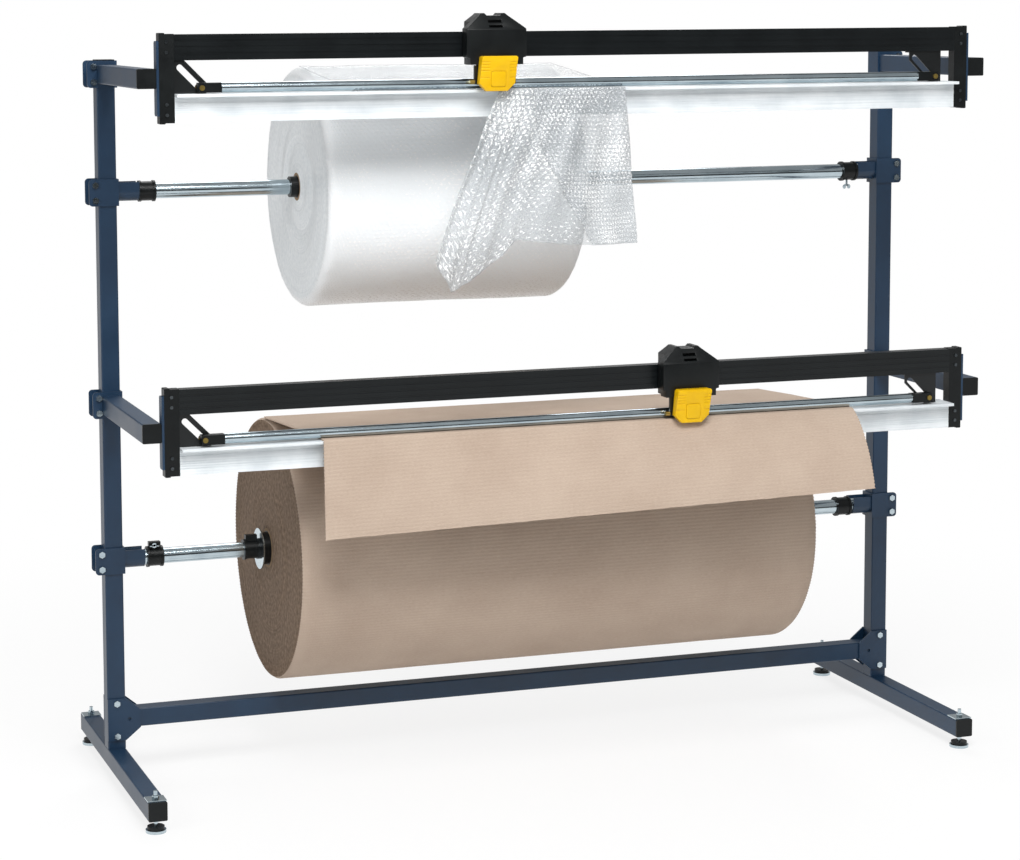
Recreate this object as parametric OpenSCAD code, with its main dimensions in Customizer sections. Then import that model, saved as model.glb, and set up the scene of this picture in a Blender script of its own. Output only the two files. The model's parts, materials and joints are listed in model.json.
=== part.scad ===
// Two-tier floor stand for rolls of packing material, with a cutter in front of each roll.
// X runs along the rolls, Y to the back, Z up. The origin is on the floor, under the middle
// of the stand's outer box. Millimetres.

/* [Frame] */
// Outer width of the square tubes
tube_w = 40; // [36:1:44]
// Wall of the square tubes
tube_wall = 2; // [1.5:0.5:3]
// Outer corner radius of the square tubes
tube_r = 3; // [1:0.5:5]
// Distance between the axes of the two posts
post_spacing = 1870; // [1700:10:2100]
// Height of the posts' tops above the upper arms' axes
post_over = 27; // [22:1:60]
// Reach of the feet and of the arms in front of the post axis
front_reach = 421; // [380:1:470]
// Reach of the feet behind the post axis
foot_back = 290; // [240:1:360]
// Height of the underside of the feet
foot_base = 28; // [24:1:36]
// Height of the crossbar's axis
crossbar_z = 134; // [120:1:300]
// Thickness of the plastic caps' heads
cap_t = 4; // [2:0.5:6]
// Depth of the plastic caps' plugs
cap_plug = 12; // [8:1:12]

/* [Gussets] */
// Thickness of the gusset plates
gusset_t = 4; // [3:0.5:6]
// Height of the gusset plates
gusset_h = 94; // [86:1:110]
// Reach of the gusset plates along the crossbar
gusset_reach = 33; // [20:1:60]
// Spacing of the gusset bolts
gusset_bolt_gap = 73; // [66:1:78]
// Diameter of the free hole in each gusset plate
gusset_hole_d = 8; // [5:1:10]

/* [Clamps] */
// Thickness of the clamp plates
clamp_t = 4; // [3:0.5:6]
// Height of the clamp plates
clamp_h = 58; // [52:1:66]
// Reach of the clamp plates past the post
clamp_out = 21; // [19:1:28]
// Radius of the clamp plates' outer corners
clamp_r = 8; // [3:1:12]
// Spacing of the two bolts of a clamp
clamp_bolt_gap = 33; // [28:1:38]
// Diameter of the bolts' shanks
bolt_d = 8; // [6:1:8]
// Width across the flats of the bolt heads and nuts
bolt_af = 13; // [12:1:14]
// Height of the bolt heads
bolt_head_h = 5.3; // [4:0.1:7]
// Height of the nuts
nut_h = 6.5; // [5:0.5:8]
// Room between a bolt and its hole, across
bolt_room = 0.6; // [0.4:0.1:1]

/* [Levellers] */
// Diameter of the feet's discs
pad_d = 43; // [36:1:50]
// Height of the discs' zinc rim
pad_rim_h = 6; // [4:0.5:8]
// Height of the black hub above the rim
pad_hub_h = 7; // [5:0.5:8]
// Diameter of the black hub
pad_hub_d = 36; // [28:1:38]
// Distance of the studs from the ends of the feet
stud_inset = 19; // [17:1:30]
// Reach of the studs above the feet
stud_up = 19; // [17:1:24]
// Thickness of the zinc plates on the feet
stud_plate_t = 2.5; // [2:0.5:4]
// Length of the zinc plates on the feet
stud_plate_l = 36; // [30:1:38]

/* [Arms] */
// Heights of the arms' axes, upper and lower
upper_arm_z = 1547; // [1450:1:1650]
// Height of the lower arms' axes
lower_arm_z = 832; // [800:1:900]
// Thickness of the arms' mounting plates
mount_t = 5; // [4:0.5:6]
// Height of the arms' mounting plates
mount_h = 150; // [140:1:170]
// Depth of the arms' mounting plates
mount_d = 24; // [16:1:60]
// Reach of the mounting plates past the arm tubes' ends
mount_lead = 6; // [2:1:12]
// Chamfer of the mounting plates' corners
mount_c = 4; // [1:1:8]

/* [Cradles] */
// Height of the upper spindle's axis
upper_spindle_z = 1293; // [1200:1:1320]
// Gap between the crossbar and the roll of corrugated board
roll_clear = 44; // [30:1:90]
// Length of the cradles
cradle_l = 46; // [40:1:60]
// Wall of the cradles
cradle_wall = 3; // [2:0.5:4]
// Height of the cradles' sides above the spindle axis
cradle_up = 21; // [16:1:24]

/* [Cutters] */
// Width of the end plates
end_w = 31; // [27:1:44]
// Height of the end plates' bodies
end_h = 178; // [170:1:190]
// Depth of the end plates
end_d = 24; // [20:1:30]
// Width of the end plates' outer ribs
end_rib_w = 12; // [6:1:14]
// Height by which the outer ribs pass the bodies, at each end
end_rib_up = 2; // [1:0.5:4]
// Wall of the end plates
end_wall = 5; // [4:0.5:7]
// Lead of the end plates' front in front of the arm tubes' ends
end_lead = 7; // [4:1:10]
// Height of the guide bars and cutting rails
bar_h = 52; // [46:1:56]
// Depth of the guide bars
bar_d = 26; // [24:1:30]
// Wall of the guide bars and the cutting rails
bar_wall = 3; // [2:0.5:4]
// Lead of the guide bars in front of the end plates
bar_lead = 1; // [0:0.5:3]
// Depth of the grooves in the bars and rails
groove_d = 1; // [0.5:0.25:1.5]
// Depth of the cutting rails behind their faces
rail_d = 45; // [38:1:60]
// Reach of the cutting rails' lips in front of their faces
lip_out = 23; // [20:1:26]
// Thickness of the lips
lip_t = 6; // [5:0.5:8]
// Distance from a lip's front edge to the knife's groove
knife_inset = 3.5; // [3:0.5:5]
// Width of the knife's groove
knife_groove_w = 2; // [1.5:0.25:3]
// Depth of the knife's groove
knife_groove_d = 3.5; // [3:0.25:4.5]

/* [Press tubes] */
// Diameter of the press tubes
press_d = 21; // [18:0.5:23]
// Wall of the press tubes
press_wall = 1.5; // [1:0.25:2.5]
// Distance from the knife's groove back to the press tube
press_gap = 3; // [2.5:0.25:6]
// Wall between the end plates and the left slots' upper ends
slot_end_wall = 5.5; // [4:0.5:12]
// Width of the slanted slots
slot_w = 13; // [10:0.5:14]
// Height that the slots climb, which is also their way sideways
slot_rise = 42; // [30:1:44]
// Thickness of the hanger plates
hanger_t = 3; // [2:0.5:4]
// Depth of the end blocks
block_d = 20; // [18:0.5:21]
// Height of the end blocks
block_h = 20; // [16:1:20]
// Length of the end blocks outside the press tube
block_l = 48; // [44:1:52]
// Distance from the slot screws to the outer ends of the end blocks
block_end = 7; // [6:0.5:10]

/* [Carriages] */
// Place of the upper carriage along X
upper_carriage_x = -206; // [-780:1:780]
// Place of the lower carriage along X
lower_carriage_x = 236; // [-780:1:780]
// Width of the carriage housings
house_w = 130; // [122:1:150]
// Inset of the housings' rear part at each side
house_rear_in = 18; // [4:1:20]
// Reach of the housings in front of the guide bar
house_out = 33; // [31:1:40]
// Height of the housings' front above the guide bar
house_front_up = 4; // [2:1:10]
// Height of the housings' ridge above the guide bar
house_top_up = 38; // [30:1:44]
// Drop of the housings' lugs below the guide bar
house_drop = 16; // [12:1:17]
// Wall of the housings behind the guide bar
house_back = 10; // [8:1:14]
// Gap between the housings and the guide bar, filled by gliders
glide_gap = 2; // [1.5:0.25:3]
// Running gap of the gliders and of the spindles in their cradles
run_gap = 0.3; // [0.25:0.05:0.5]
// Width of the yellow handles
handle_w = 78; // [70:1:90]
// Height of the yellow handles
handle_h = 72; // [68:1:76]
// Thickness of the yellow handles
handle_t = 18; // [12:1:24]
// Distance from the top of the handle up to the guide bar's top
handle_below_bar = 50; // [46:1:54]
// Thickness of the knife blades
blade_t = 0.6; // [0.4:0.1:0.7]
// Way that the button travels and, four times as far, the blade drops
button_travel = 2; // [1.5:0.25:2.25]

/* [Spindles] */
// Diameter of the spindle tubes
spindle_d = 33.7; // [30:0.1:34]
// Wall of the spindle tubes
spindle_wall = 2.6; // [2:0.1:4]
// Diameter of the collars
collar_d = 42; // [39:1:43]
// Diameter of the collars' flanges
collar_flange_d = 46; // [44:1:50]
// Length of the collars
collar_l = 36; // [30:1:42]
// Reach of the collars' clamping ears from the axis
collar_ear = 33; // [29:1:36]
// Gap between the upper collars and the cradles
upper_collar_gap = 1; // [1:0.5:10]
// Gap between the lower collars and the cradles
lower_collar_gap = 6; // [1:0.5:10]
// Reach of the core plugs out of the rolls
plug_out = 17; // [12:1:24]
// Depth of the core plugs in the rolls
plug_in = 40; // [20:1:80]
// Diameter of the zinc discs on the lower plugs
disc_d = 91; // [86:1:110]
// Thickness of the zinc discs
disc_t = 3; // [2:0.5:5]

/* [Rolls] */
// Radius of the roll of bubble film
film_roll_r = 266; // [100:1:285]
// Width of the bubble film
film_w = 592; // [300:1:700]
// Middle of the bubble film along X
film_x = -212; // [-240:1:240]
// Inner diameter of the film roll's core
film_core_d = 50; // [46:1:76]
// Thickness of the pressed bubble film
film_t = 1; // [0.8:0.1:2]
// Radius of the roll of corrugated board
board_roll_r = 290; // [120:1:310]
// Width of the corrugated board
board_w = 1212; // [600:1:1260]
// Middle of the corrugated board along X
board_x = 22; // [-60:1:60]
// Inner diameter of the board roll's core
board_core_d = 76; // [70:1:80]
// Thickness of the corrugated board
board_t = 4; // [2:0.25:4.5]
// Wall of the rolls' cores
core_wall = 6; // [3:0.5:8]
// Gap between the sheets and what they lie on
sheet_gap = 0.3; // [0.2:0.05:0.4]

/* [Hanging sheets] */
// Drop of the film's lowest fold below the lip
film_drop = 416; // [300:1:460]
// Depth of the film's upright folds
film_fold = 9; // [6:0.5:12]
// Lead of the film's foot in front of the lip
film_lead = 10; // [6:0.5:14]
// Drop of the board's left corner below the lip
board_left_drop = 204; // [150:1:240]
// Drop of the board's right corner below the lip
board_right_drop = 157; // [130:1:200]
// Lead of the board's left corner in front of the lip
board_left_lead = 11; // [8:1:40]
// Lead of the board's right corner in front of the lip
board_right_lead = 105; // [60:1:120]
// Length over which the board leaves the lip, doubled at its right edge
board_start = 30; // [20:1:40]
// Length over which the board's foot runs out
board_end = 60; // [40:1:80]

/* [Hidden] */
$fn = 48;

// Frame
post_x = post_spacing / 2;
post_top = upper_arm_z + post_over;
tube_half = tube_w / 2;
foot_top = foot_base + tube_w;
back_y = foot_back + cap_t;
cap_room = 0.3;
gusset_in = post_x - tube_half - gusset_reach;
bolt_x = post_x + tube_half + bolt_af / 2 + 1;
bolt_tail = 3;
stud_front_y = -front_reach + stud_inset;
stud_back_y = foot_back - stud_inset;
plate_top = foot_top + stud_plate_t;

// Cutters; heights are measured from the arms' axes
arm_zs = [upper_arm_z, lower_arm_z];
end_x = post_x - tube_half - mount_t;
bar_half = end_x - end_w;
end_front = -front_reach - end_lead;
bar_front = end_front - bar_lead;
bar_back = bar_front + bar_d;
bar_top = end_h / 2 - 1;
bar_bottom = bar_top - bar_h;
bar_groove_w = 4;
lip_z = bar_h - bar_top + lip_t - 1;
lip_front = bar_front - lip_out;
lip_r = 1;
rail_back = bar_front + rail_d;
rail_skirt = 25;
rail_foot = 20;
face_groove_zs = [11, 23, 28, 33, 38];
knife_y = lip_front + knife_inset;
press_r = press_d / 2;
press_y = knife_y + press_gap + press_r;
end_screw_d = 4;
end_screw_x = 15;
end_screw_zs = [73, 52];
end_screw_head_r = 3.5;
end_screw_head_h = 2;
end_screw_l = 9;

// Press tubes
slot_screw_x = bar_half - slot_end_wall - slot_w / 2 - slot_rise;
press_half = slot_screw_x + block_end - block_l;
hang_front = press_y + max(press_r, block_d / 2) + run_gap;
hang_back = hang_front + hanger_t;
hang_bottom = lip_z + 0.5;
slot_low_z = lip_z + press_r;
hang_wall = 5.5;
film_lift = 2 * sheet_gap + film_t;
board_lift = 2 * sheet_gap + board_t;
block_plug_l = 25;
slot_roller_r = slot_w / 2 - 0.3;
slot_head_r = 5.5;
slot_head_h = 2.5;
slot_shank_r = 4;
slot_washer_r = 9;
slot_washer_t = 2;
slot_nut_h = 4;

// Carriages
house_half = house_w / 2;
rear_half = house_half - house_rear_in;
lug_half = house_half - 7;
house_front = bar_front - house_out;
ring_back = bar_front + bar_d + glide_gap + house_back;
house_low = bar_bottom - house_drop;
house_ridge = bar_top + house_top_up;
house_eave = bar_top + house_front_up;
house_wall = 4;
ridge_half = 26;
notch_half = 15;
glider_l = 20;
glider_x = rear_half - 2 - glider_l / 2;
handle_top = bar_top - handle_below_bar;
handle_low = handle_top - handle_h;
handle_lean = 7;
handle_wall = 3;
handle_shift = 5;
handle_chamfer = 16;
grip_zs = [12, 18, 24, 30, 44];
grip_in = 22;
carrier_half = 43;
carrier_t = 4;
carrier_low = handle_low + 14;
carrier_boss_half = 30;
tab_t = 6;
tab_l = 5;
holder_half = 20;
holder_roof = 8;
blade_half = 8;
blade_y = knife_y - blade_t / 2;
blade_drop = 4 * button_travel;
blade_tip = lip_z - knife_groove_d + 0.5 + blade_drop;
blade_top = bar_bottom - holder_roof;
holder_back = knife_y + 2;
button_w = 32;
button_h = 32;
button_x = -3;
button_r = 5;
button_z = (handle_top + handle_low) / 2 - 11;
button_gap = 0.4;
button_proud = 1.5;
button_rim = 2.5;
button_rim_t = 2;
knob_r = 5;
knob_l = 10;
knob_shank_r = 2;
knob_z = carrier_low + knob_r;
knob_y = house_front + house_wall + tab_t / 2;

// Spindles
spindle_r = spindle_d / 2;
lower_spindle_z = crossbar_z + tube_half + roll_clear + board_roll_r;
web_x = post_x - tube_half - clamp_t;
cradle_in = web_x - cradle_l;
spindle_half = web_x - 2;
cradle_r = spindle_r + run_gap;
flange_l = 5;
ear_w = 14;
ear_back = -90;
plug_lip = 4;
film_half = film_w / 2;
board_half = board_w / 2;

// Sheets: paths run from the roll, over the lip and down in front of it
film_z = upper_arm_z + lip_z;
board_z = lower_arm_z + lip_z;
slit_w = 2;
slit_room = 1;
film_slit_x = slit_end(upper_carriage_x, film_x, film_half);
board_slit_x = slit_end(lower_carriage_x, board_x, board_half);
film_line = film_z + sheet_gap + film_t / 2;
board_line = board_z + sheet_gap + board_t / 2;
film_bend = lip_r + sheet_gap + film_t / 2;
board_bend = lip_r + sheet_gap + board_t / 2;
press_line_y = press_y + 1.5;
rail_line_y = rail_back + 2;

// End of the slit behind a knife at x; it stays within the edges of the sheet
function slit_end(x, mid, half) =
    max(mid - half + slit_room, min(mid + half - slit_room, x + blade_half + slit_room));

// First point of a sheet, where it leaves its roll for the point p
function leave(c_z, r, p) =
    let (dy = p[0], dz = p[1] - c_z, a = atan2(dz, dy) - acos(r / norm([dy, dz])))
    [r * cos(a), c_z + r * sin(a)];

// Point after the roll: the press line for a roll above the lip, else the rail's back edge
function landing(c_z, r, line) = c_z + r > line ? [press_line_y, line] : [rail_line_y, line];

function bezier(a, b, c, d, t) =
    pow(1 - t, 3) * a + 3 * pow(1 - t, 2) * t * b + 3 * (1 - t) * t * t * c + pow(t, 3) * d;

film_land = landing(upper_spindle_z, film_roll_r + sheet_gap + film_t / 2, film_line);
film_leave = leave(upper_spindle_z, film_roll_r + sheet_gap + film_t / 2, film_land);
board_land = landing(lower_spindle_z, board_roll_r + sheet_gap + board_t / 2, board_line);
board_leave = leave(lower_spindle_z, board_roll_r + sheet_gap + board_t / 2, board_land);

// Hanging board: left edge nearly plumb, right edge bowed forward
board_left_end = [lip_front - board_left_lead, board_z - board_left_drop];
board_right_end = [lip_front - board_right_lead, board_z - board_right_drop];
board_turn_left = 86;
board_turn_right = 30;
board_rows = 16;
board_cols = 12;
board_slit_col = 8;

function board_x_at(i) =
    let (l = board_x - board_half, r = board_x + board_half)
    i <= board_slit_col
        ? l + (board_slit_x - l) * i / board_slit_col
        : board_slit_x + (r - board_slit_x) * (i - board_slit_col) / (board_cols - board_slit_col);

function board_mid(i, j) =
    let (
        u = (board_x_at(i) - board_x + board_half) / board_w,
        w = u * u,
        turn = board_turn_left + (board_turn_right - board_turn_left) * w,
        pivot = [lip_front + lip_r, board_z - lip_r],
        tip = pivot + board_bend * [-sin(turn), cos(turn)],
        reach = board_start * (1 + w),
        last = board_left_end + (board_right_end - board_left_end) * u,
        lead = last + board_end * [0.05 + 0.2 * w, 1],
        t = (j - 7) / (board_rows - 7)
    )
    j == 0 ? board_leave
    : j == 1 ? board_land
    : j == 2 ? [knife_y + slit_w / 2, board_line]
    : j == 3 ? [knife_y - slit_w / 2, board_line]
    : j <= 7 ? pivot + board_bend * [-sin(turn * (j - 4) / 3), cos(turn * (j - 4) / 3)]
    : bezier(tip, tip + reach * [-cos(turn), -sin(turn)], lead, last, t);

// Hanging film: pulled to the lower left, with soft upright folds
film_rows = 16;
film_cols = 20;
film_slit_col = 2;
film_folds = 2.5;
// Foot of the film: share of the free width, place in half widths, drop in largest drops
film_foot = [
    [0, -0.453, 0.846], [0.1, -0.341, 1], [0.22, -0.209, 0.94], [0.36, 0.041, 0.832],
    [0.46, 0.155, 0.75], [0.62, 0.439, 0.774], [0.8, 0.736, 0.793], [1, 1.047, 0.784]
];

function film_x_at(i) =
    let (l = film_x - film_half, r = film_x + film_half)
    i <= film_slit_col
        ? l + (film_slit_x - l) * i / film_slit_col
        : film_slit_x + (r - film_slit_x) * (i - film_slit_col) / (film_cols - film_slit_col);

function film_u(i) = max(0, (i - film_slit_col) / (film_cols - film_slit_col));
function film_foot_x(u) = film_x + film_half * lookup(u, [for (p = film_foot) [p[0], p[1]]]);
function film_foot_z(u) = film_z - film_drop * lookup(u, [for (p = film_foot) [p[0], p[2]]]);

function film_mid(i, j) =
    let (pivot = [lip_front + lip_r, film_z - lip_r])
    j == 0 ? film_leave
    : j == 1 ? film_land
    : j == 2 ? [knife_y + slit_w / 2, film_line]
    : j == 3 ? [knife_y - slit_w / 2, film_line]
    : j <= 7 ? pivot + film_bend * [-sin(30 * (j - 4)), cos(30 * (j - 4))]
    : let (
        u = film_u(i),
        t = (j - 7) / (film_rows - 7),
        top = film_z - lip_r,
        wave = film_fold * (1 - cos(360 * film_folds * u)) + film_lead
    )
    [pivot[0] - film_bend - wave * t, top + (film_foot_z(u) - top) * t];

function film_x_point(i, j) =
    j <= 7 ? film_x_at(i)
    : let (u = film_u(i), t = (j - 7) / (film_rows - 7), x = film_x_at(i))
    x + (film_foot_x(u) - x) * (1.25 * t - 0.25 * t * t);

// A thick sheet on a grid: mid points m, columns nc, rows nr, thickness t, cells kept by on(i, j)
function across(m, i, j, nr) =
    let (
        a = m[i][max(0, j - 1)],
        b = m[i][min(nr, j + 1)],
        d = [b[1] - a[1], b[2] - a[2]]
    )
    [0, d[1], -d[0]] / norm(d);

function sheet_points(m, nc, nr, t) = [
    for (i = [0:nc]) for (j = [0:nr]) for (k = [-1, 1])
        m[i][j] + k * t / 2 * across(m, i, j, nr)
];

function quad(a, b, c, d) = [[a, b, c], [a, c, d]];

function sheet_faces(nc, nr, on) =
    let (id = function (i, j, k) (i * (nr + 1) + j) * 2 + k)
    [
        for (i = [0:nc - 1]) for (j = [0:nr - 1]) if (on(i, j))
            let (
                a = id(i, j, 0), b = id(i + 1, j, 0), c = id(i + 1, j + 1, 0), d = id(i, j + 1, 0)
            )
            each concat(
                quad(a + 1, b + 1, c + 1, d + 1),
                [[c, b, a], [d, c, a]],
                j == 0 || !on(i, j - 1) ? quad(b + 1, a + 1, a, b) : [],
                i == nc - 1 || !on(i + 1, j) ? quad(c + 1, b + 1, b, c) : [],
                j == nr - 1 || !on(i, j + 1) ? quad(d + 1, c + 1, c, d) : [],
                i == 0 || !on(i - 1, j) ? quad(a + 1, d + 1, d, a) : []
            )
    ];

board_mids = [for (i = [0:board_cols]) [for (j = [0:board_rows])
    let (p = board_mid(i, j)) [board_x_at(i), p[0], p[1]]]];
film_mids = [for (i = [0:film_cols]) [for (j = [0:film_rows])
    let (p = film_mid(i, j)) [film_x_point(i, j), p[0], p[1]]]];
board_points = sheet_points(board_mids, board_cols, board_rows, board_t);
film_points = sheet_points(film_mids, film_cols, film_rows, film_t);

// The stand is centred on its outer box
front_y = min([for (p = board_points) p[1]]);
post_y = -(front_y + back_y) / 2;

module stand() translate([0, post_y, 0]) children();
module right_side() mirror([1, 0, 0]) children();
module both_sides() {
    children();
    right_side() children();
}

// Extrudes a drawing of X and Z along Y, from y0 to y1
module along_y(y0, y1) translate([0, y1, 0]) rotate([90, 0, 0]) linear_extrude(y1 - y0) children();

// Extrudes a drawing of Y and Z along X, from x0 to x1
module along_x(x0, x1) translate([x0, 0, 0]) rotate([90, 0, 90]) linear_extrude(x1 - x0) children();

module box(x0, x1, y0, y1, z0, z1) translate([x0, y0, z0]) cube([x1 - x0, y1 - y0, z1 - z0]);
module rect(x0, x1, z0, z1) translate([x0, z0]) square([x1 - x0, z1 - z0]);

module rounded(w, h, r) {
    square([w - 2 * r, h], center = true);
    square([w, h - 2 * r], center = true);
    for (x = [-1, 1], z = [-1, 1])
        translate([x * (w / 2 - r), z * (h / 2 - r)]) circle(r = r);
}

module tube_section() difference() {
    rounded(tube_w, tube_w, tube_r);
    rounded(tube_w - 2 * tube_wall, tube_w - 2 * tube_wall, max(0.5, tube_r - tube_wall));
}

module rod_y(r, y0, y1) translate([0, y1, 0]) rotate([90, 0, 0]) cylinder(r = r, h = y1 - y0);
module rod_x(r, x0, x1) translate([x0, 0, 0]) rotate([0, 90, 0]) cylinder(r = r, h = x1 - x0);

// Hexagon with its flats across X
module hex_y(af, y0, y1)
    translate([0, y1, 0]) rotate([90, 0, 0]) rotate([0, 0, 30])
        cylinder(d = af / cos(30), h = y1 - y0, $fn = 6);

// Places of the gusset bolts, and of the clamp bolts around the height z
module gusset_places() for (z = [-1, 1])
    translate([-post_x, 0, crossbar_z + z * gusset_bolt_gap / 2]) children();

module clamp_places(z) for (s = [-1, 1])
    translate([-bolt_x, 0, z + s * clamp_bolt_gap / 2]) children();

module all_bolt_places() both_sides() {
    gusset_places() children();
    for (z = [upper_arm_z, lower_arm_z, upper_spindle_z, lower_spindle_z])
        clamp_places(z) children();
}

module stud_places() both_sides() for (y = [stud_front_y, stud_back_y])
    translate([-post_x, y, 0]) children();

module post() color("#2f4560") difference() {
    translate([-post_x, 0, foot_top]) linear_extrude(post_top - foot_top) tube_section();
    gusset_places() rod_y((bolt_d + bolt_room) / 2, -tube_w, tube_w);
}

module left_post() stand() post();
module right_post() stand() right_side() post();

module foot_tube() color("#2f4560") difference() {
    translate([-post_x, 0, foot_base + tube_half]) along_y(-front_reach, foot_back) tube_section();
    for (y = [stud_front_y, stud_back_y])
        translate([-post_x, y, foot_base - 1]) cylinder(d = bolt_d + bolt_room, h = tube_w + 2);
}

module left_foot_tube() stand() foot_tube();
module right_foot_tube() stand() right_side() foot_tube();

module gusset_shape() translate([0, crossbar_z]) difference() {
    polygon([
        [-post_x - tube_half, -gusset_h / 2], [-post_x + tube_half, -gusset_h / 2],
        [-gusset_in, -tube_half], [-gusset_in, tube_half],
        [-post_x + tube_half, gusset_h / 2], [-post_x - tube_half, gusset_h / 2]
    ]);
    translate([-post_x + tube_half + gusset_hole_d, 0]) circle(d = gusset_hole_d);
    for (z = [-1, 1])
        translate([-post_x, z * gusset_bolt_gap / 2]) circle(d = bolt_d + bolt_room);
}

module crossbar() stand() color("#2f4560") {
    translate([0, 0, crossbar_z]) along_x(-post_x + tube_half, post_x - tube_half) tube_section();
    both_sides() {
        along_y(-tube_half - gusset_t, -tube_half) gusset_shape();
        along_y(tube_half, tube_half + gusset_t) gusset_shape();
    }
}

// Cap for a square tube: head above z = 0, plug below
module cap() {
    linear_extrude(cap_t) rounded(tube_w, tube_w, tube_r);
    translate([0, 0, -cap_plug]) linear_extrude(cap_plug)
        rounded(tube_w - 2 * tube_wall - cap_room, tube_w - 2 * tube_wall - cap_room, 1);
}

module square_end_caps() stand() color("#1f2426") both_sides() translate([-post_x, 0, 0]) {
    translate([0, 0, post_top]) cap();
    translate([0, -front_reach, foot_base + tube_half]) rotate([90, 0, 0]) cap();
    translate([0, foot_back, foot_base + tube_half]) rotate([-90, 0, 0]) cap();
    for (z = arm_zs) translate([0, -front_reach, z]) rotate([90, 0, 0]) cap();
}

// Clamp around a post: two plates and the web that joins them inside the frame
module clamp_plate() difference() {
    union() {
        rect(-tube_half - clamp_out + clamp_r, tube_half + clamp_t, -clamp_h / 2, clamp_h / 2);
        rect(-tube_half - clamp_out, tube_half, clamp_r - clamp_h / 2, clamp_h / 2 - clamp_r);
        for (z = [-1, 1])
            translate([-tube_half - clamp_out + clamp_r, z * (clamp_h / 2 - clamp_r)]) circle(r = clamp_r);
    }
    for (z = [-1, 1])
        translate([post_x - bolt_x, z * clamp_bolt_gap / 2]) circle(d = bolt_d + bolt_room);
}

module clamp() {
    along_y(-tube_half - clamp_t, -tube_half) clamp_plate();
    along_y(tube_half, tube_half + clamp_t) clamp_plate();
    box(tube_half, tube_half + clamp_t, -tube_half, tube_half, -clamp_h / 2, clamp_h / 2);
}

module mount_shape() {
    y0 = -front_reach - mount_lead;
    polygon([
        [y0, -mount_h / 2], [y0 + mount_d - mount_c, -mount_h / 2], [y0 + mount_d, mount_c - mount_h / 2],
        [y0 + mount_d, mount_h / 2 - mount_c], [y0 + mount_d - mount_c, mount_h / 2], [y0, mount_h / 2]
    ]);
}

module arm(z) color("#2f4560") translate([-post_x, 0, z]) {
    clamp();
    along_y(-front_reach, -tube_half - clamp_t) tube_section();
    along_x(tube_half, tube_half + mount_t) mount_shape();
}

module upper_left_arm() stand() arm(upper_arm_z);
module upper_right_arm() stand() right_side() arm(upper_arm_z);
module lower_left_arm() stand() arm(lower_arm_z);
module lower_right_arm() stand() right_side() arm(lower_arm_z);

module cradle(z) color("#2f4560") translate([0, 0, z]) {
    translate([-post_x, 0, 0]) clamp();
    difference() {
        union() {
            rod_x(cradle_r + cradle_wall, -web_x, -cradle_in);
            box(-web_x, -cradle_in, -cradle_r - cradle_wall, cradle_r + cradle_wall, 0, cradle_up);
        }
        rod_x(cradle_r, -web_x, -cradle_in + 1);
        box(-web_x, -cradle_in + 1, -cradle_r, cradle_r, 0, cradle_up + cradle_r);
    }
}

module upper_cradles() stand() both_sides() cradle(upper_spindle_z);
module lower_cradles() stand() both_sides() cradle(lower_spindle_z);

module frame_bolts() stand() color("#b4bcc4") all_bolt_places() {
    y0 = -tube_half - clamp_t;
    hex_y(bolt_af, y0 - bolt_head_h, y0);
    rod_y(bolt_d / 2, y0, -y0 + nut_h + bolt_tail);
}

module frame_nuts() stand() color("#b4bcc4") all_bolt_places() difference() {
    hex_y(bolt_af, tube_half + clamp_t, tube_half + clamp_t + nut_h);
    rod_y(bolt_d / 2, tube_half, tube_w);
}

module leveller_studs() stand() color("#b4bcc4") stud_places() {
    cylinder(d = pad_d, h = pad_rim_h);
    cylinder(d = bolt_d, h = foot_top + stud_up);
}

module leveller_hubs() stand() color("#1f2426") stud_places() difference() {
    translate([0, 0, pad_rim_h]) cylinder(d = pad_hub_d, h = pad_hub_h);
    cylinder(d = bolt_d, h = foot_base);
}

module hex_nut(z) difference() {
    translate([0, 0, z]) cylinder(d = bolt_af / cos(30), h = nut_h, $fn = 6);
    translate([0, 0, z - 1]) cylinder(d = bolt_d, h = nut_h + 2);
}

module leveller_nuts() stand() color("#b4bcc4") stud_places() {
    hex_nut(foot_base - nut_h);
    hex_nut(plate_top);
}

module leveller_plates() stand() color("#b4bcc4") stud_places() difference() {
    box(-tube_half, tube_half, -stud_plate_l / 2, stud_plate_l / 2, foot_top, plate_top);
    translate([0, 0, foot_top - 1]) cylinder(d = bolt_d + bolt_room, h = stud_plate_t + 2);
}

module bar_shape() difference() {
    rect(bar_front, bar_back, bar_bottom, bar_top);
    rect(bar_front + bar_wall, bar_back - bar_wall, bar_bottom + bar_wall, bar_top - bar_wall);
    for (z = [0.25, 0.5, 0.75])
        translate([bar_front, bar_bottom + z * bar_h])
            square([2 * groove_d, bar_groove_w], center = true);
}

module guide_bar(z) color("#22272a") translate([0, 0, z]) along_x(-bar_half, bar_half) bar_shape();
module upper_guide_bar() stand() guide_bar(upper_arm_z);
module lower_guide_bar() stand() guide_bar(lower_arm_z);

module rail_shape() difference() {
    union() {
        rect(lip_front + lip_r, rail_back, lip_z - lip_t, lip_z);
        rect(lip_front, rail_back, lip_z - lip_t, lip_z - lip_r);
        translate([lip_front + lip_r, lip_z - lip_r]) circle(r = lip_r);
        rect(bar_front, bar_front + bar_wall, -bar_top, lip_z);
        rect(bar_front, bar_front + rail_foot, -bar_top, bar_wall - bar_top);
        rect(rail_back - bar_wall, rail_back, lip_z - rail_skirt, lip_z);
    }
    translate([knife_y, lip_z]) square([knife_groove_w, 2 * knife_groove_d], center = true);
    for (z = face_groove_zs)
        translate([bar_front, lip_z - lip_t - z]) square([2 * groove_d, knife_groove_w], center = true);
}

module cutting_rail(z) color("#d9dde0")
    translate([0, 0, z]) along_x(-bar_half, bar_half) rail_shape();
module upper_cutting_rail() stand() cutting_rail(upper_arm_z);
module lower_cutting_rail() stand() cutting_rail(lower_arm_z);

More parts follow.
